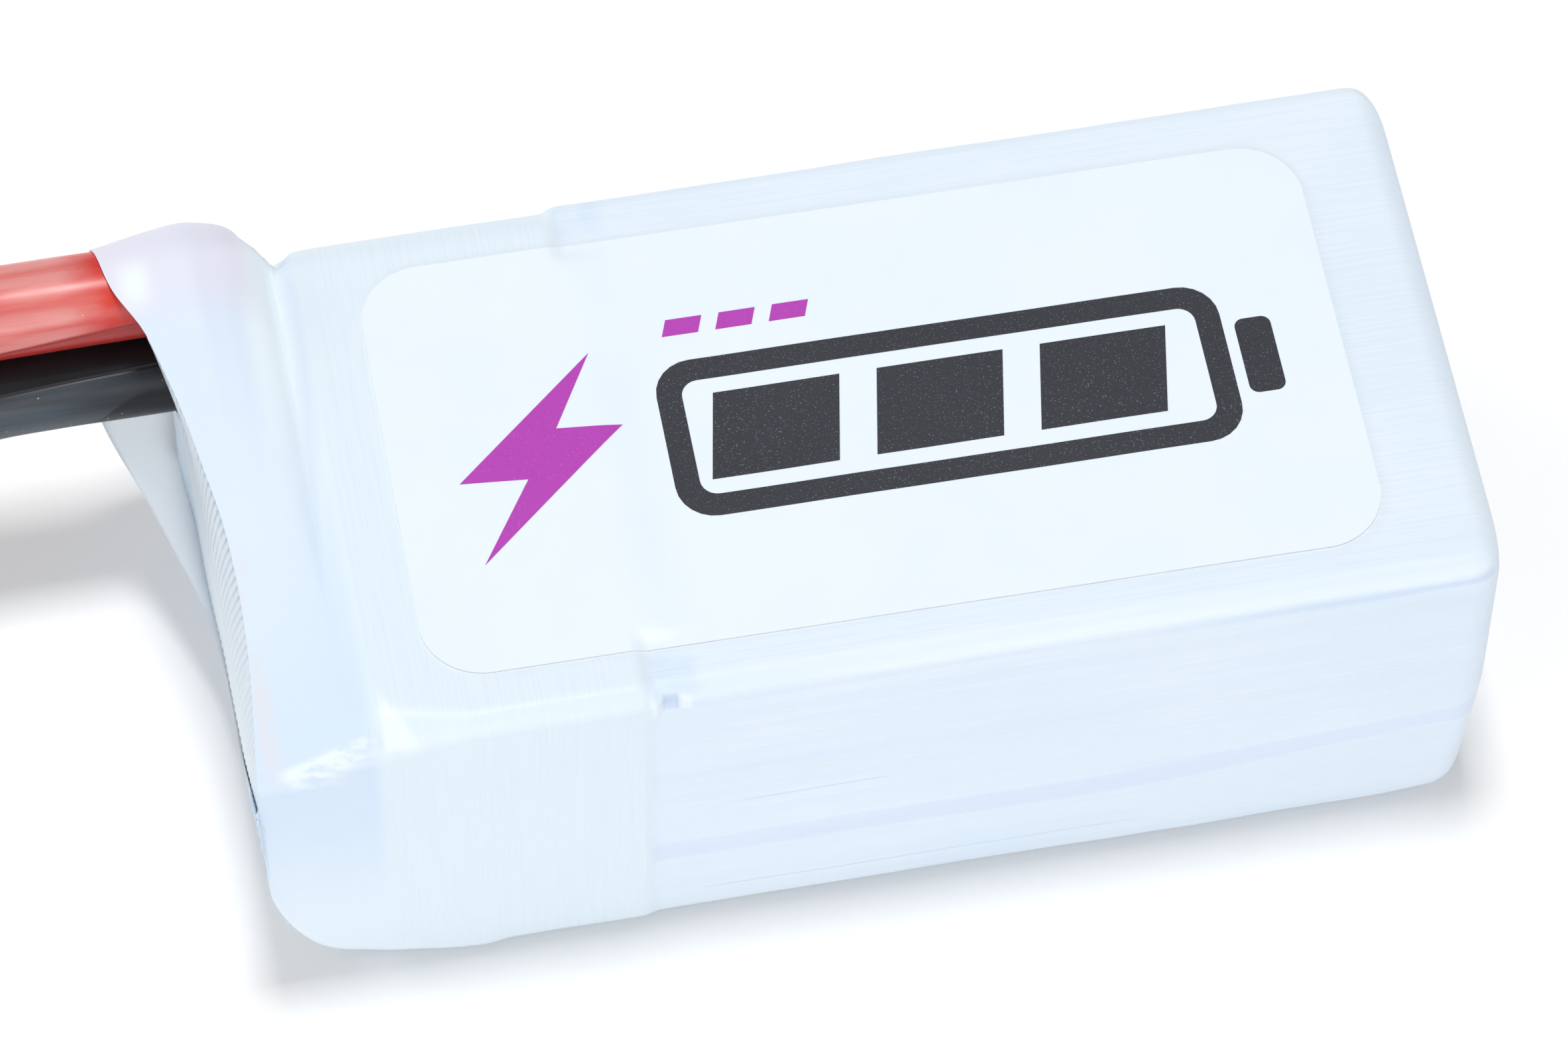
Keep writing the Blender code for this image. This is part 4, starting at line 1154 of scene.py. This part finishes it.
def finish_nodes():
    """Give the CAD nodes that stay in view their finishes."""
    solder = metal_finish("solder", (0.56, 0.57, 0.60), (0.74, 0.75, 0.77), 0.28, 0.3)
    tinned = metal_finish("tinned_copper", (0.58, 0.54, 0.5), (0.76, 0.74, 0.72), 0.3, 0.16, (12, 1, 1))
    gold = metal_finish("gold_plate", (0.8, 0.56, 0.2), (0.94, 0.72, 0.3), 0.18, 0.2, (1, 4, 4))
    aluminium = metal_finish("aluminium_tab", (0.70, 0.71, 0.73), (0.84, 0.85, 0.87), 0.32, 0.1,
                             (20, 1, 20))
    nickel = metal_finish("nickel_tab", (0.52, 0.5, 0.46), (0.68, 0.66, 0.62), 0.28, 0.1, (20, 1, 20))
    copper = metal_finish("copper_pad", (0.68, 0.30, 0.15), (0.86, 0.46, 0.26), 0.3, 0.2)
    board, foam, sealant = board_finish(), foam_finish(), sealant_finish()
    kinds = [("contact_", gold), ("tab_board", board), ("tab_joint_", solder), ("foam_pad_", foam),
             ("lead_sealant", sealant), ("balance_pad_", copper)]
    for name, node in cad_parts.items():
        found = [finish for start, finish in kinds if name.startswith(start)]
        if not found and name.startswith("tab_"):
            found = [aluminium if name.endswith("positive") else nickel]
        if not found and name.endswith("_board_solder"):
            found = [solder]
        if not found and "_copper_" in name:
            found = [tinned]
        if found:
            node.data.materials.clear()
            node.data.materials.append(found[0])
            node.data.shade_smooth()
            node.data.set_sharp_from_angle(angle=math.radians(35))


make_camera()
bpy.context.scene.view_settings.view_transform = "Standard"
make_stage()
make_lights()
build_sleeve()
build_label()
build_graphic()
build_end_cover()
foil = pouch_finish()
for cell_level, cell_word in enumerate(("bottom", "middle", "top")):
    build_cell(cell_word, cell_level, foil)
build_wrap_tape(tape_finish())
finish_nodes()

plug = build_plug()
red_tube = shrink_finish("red_tube", (0.42, 0.02, 0.015), (0.55, 0.035, 0.025))
red_shrink = build_heat_shrink("red", PLUG_Y + POLE_PITCH / 2, red_tube)
black_tube = shrink_finish("black_tube", (0.012, 0.012, 0.014), (0.03, 0.03, 0.034))
black_shrink = build_heat_shrink("black", PLUG_Y - POLE_PITCH / 2, black_tube)
build_lead("red_wire", "red_lead", RED_ROUTE, red_lead_finish(), "red_silicone")
build_lead("black_wire", "black_lead", BLACK_ROUTE, black_lead_finish(), "black_silicone")
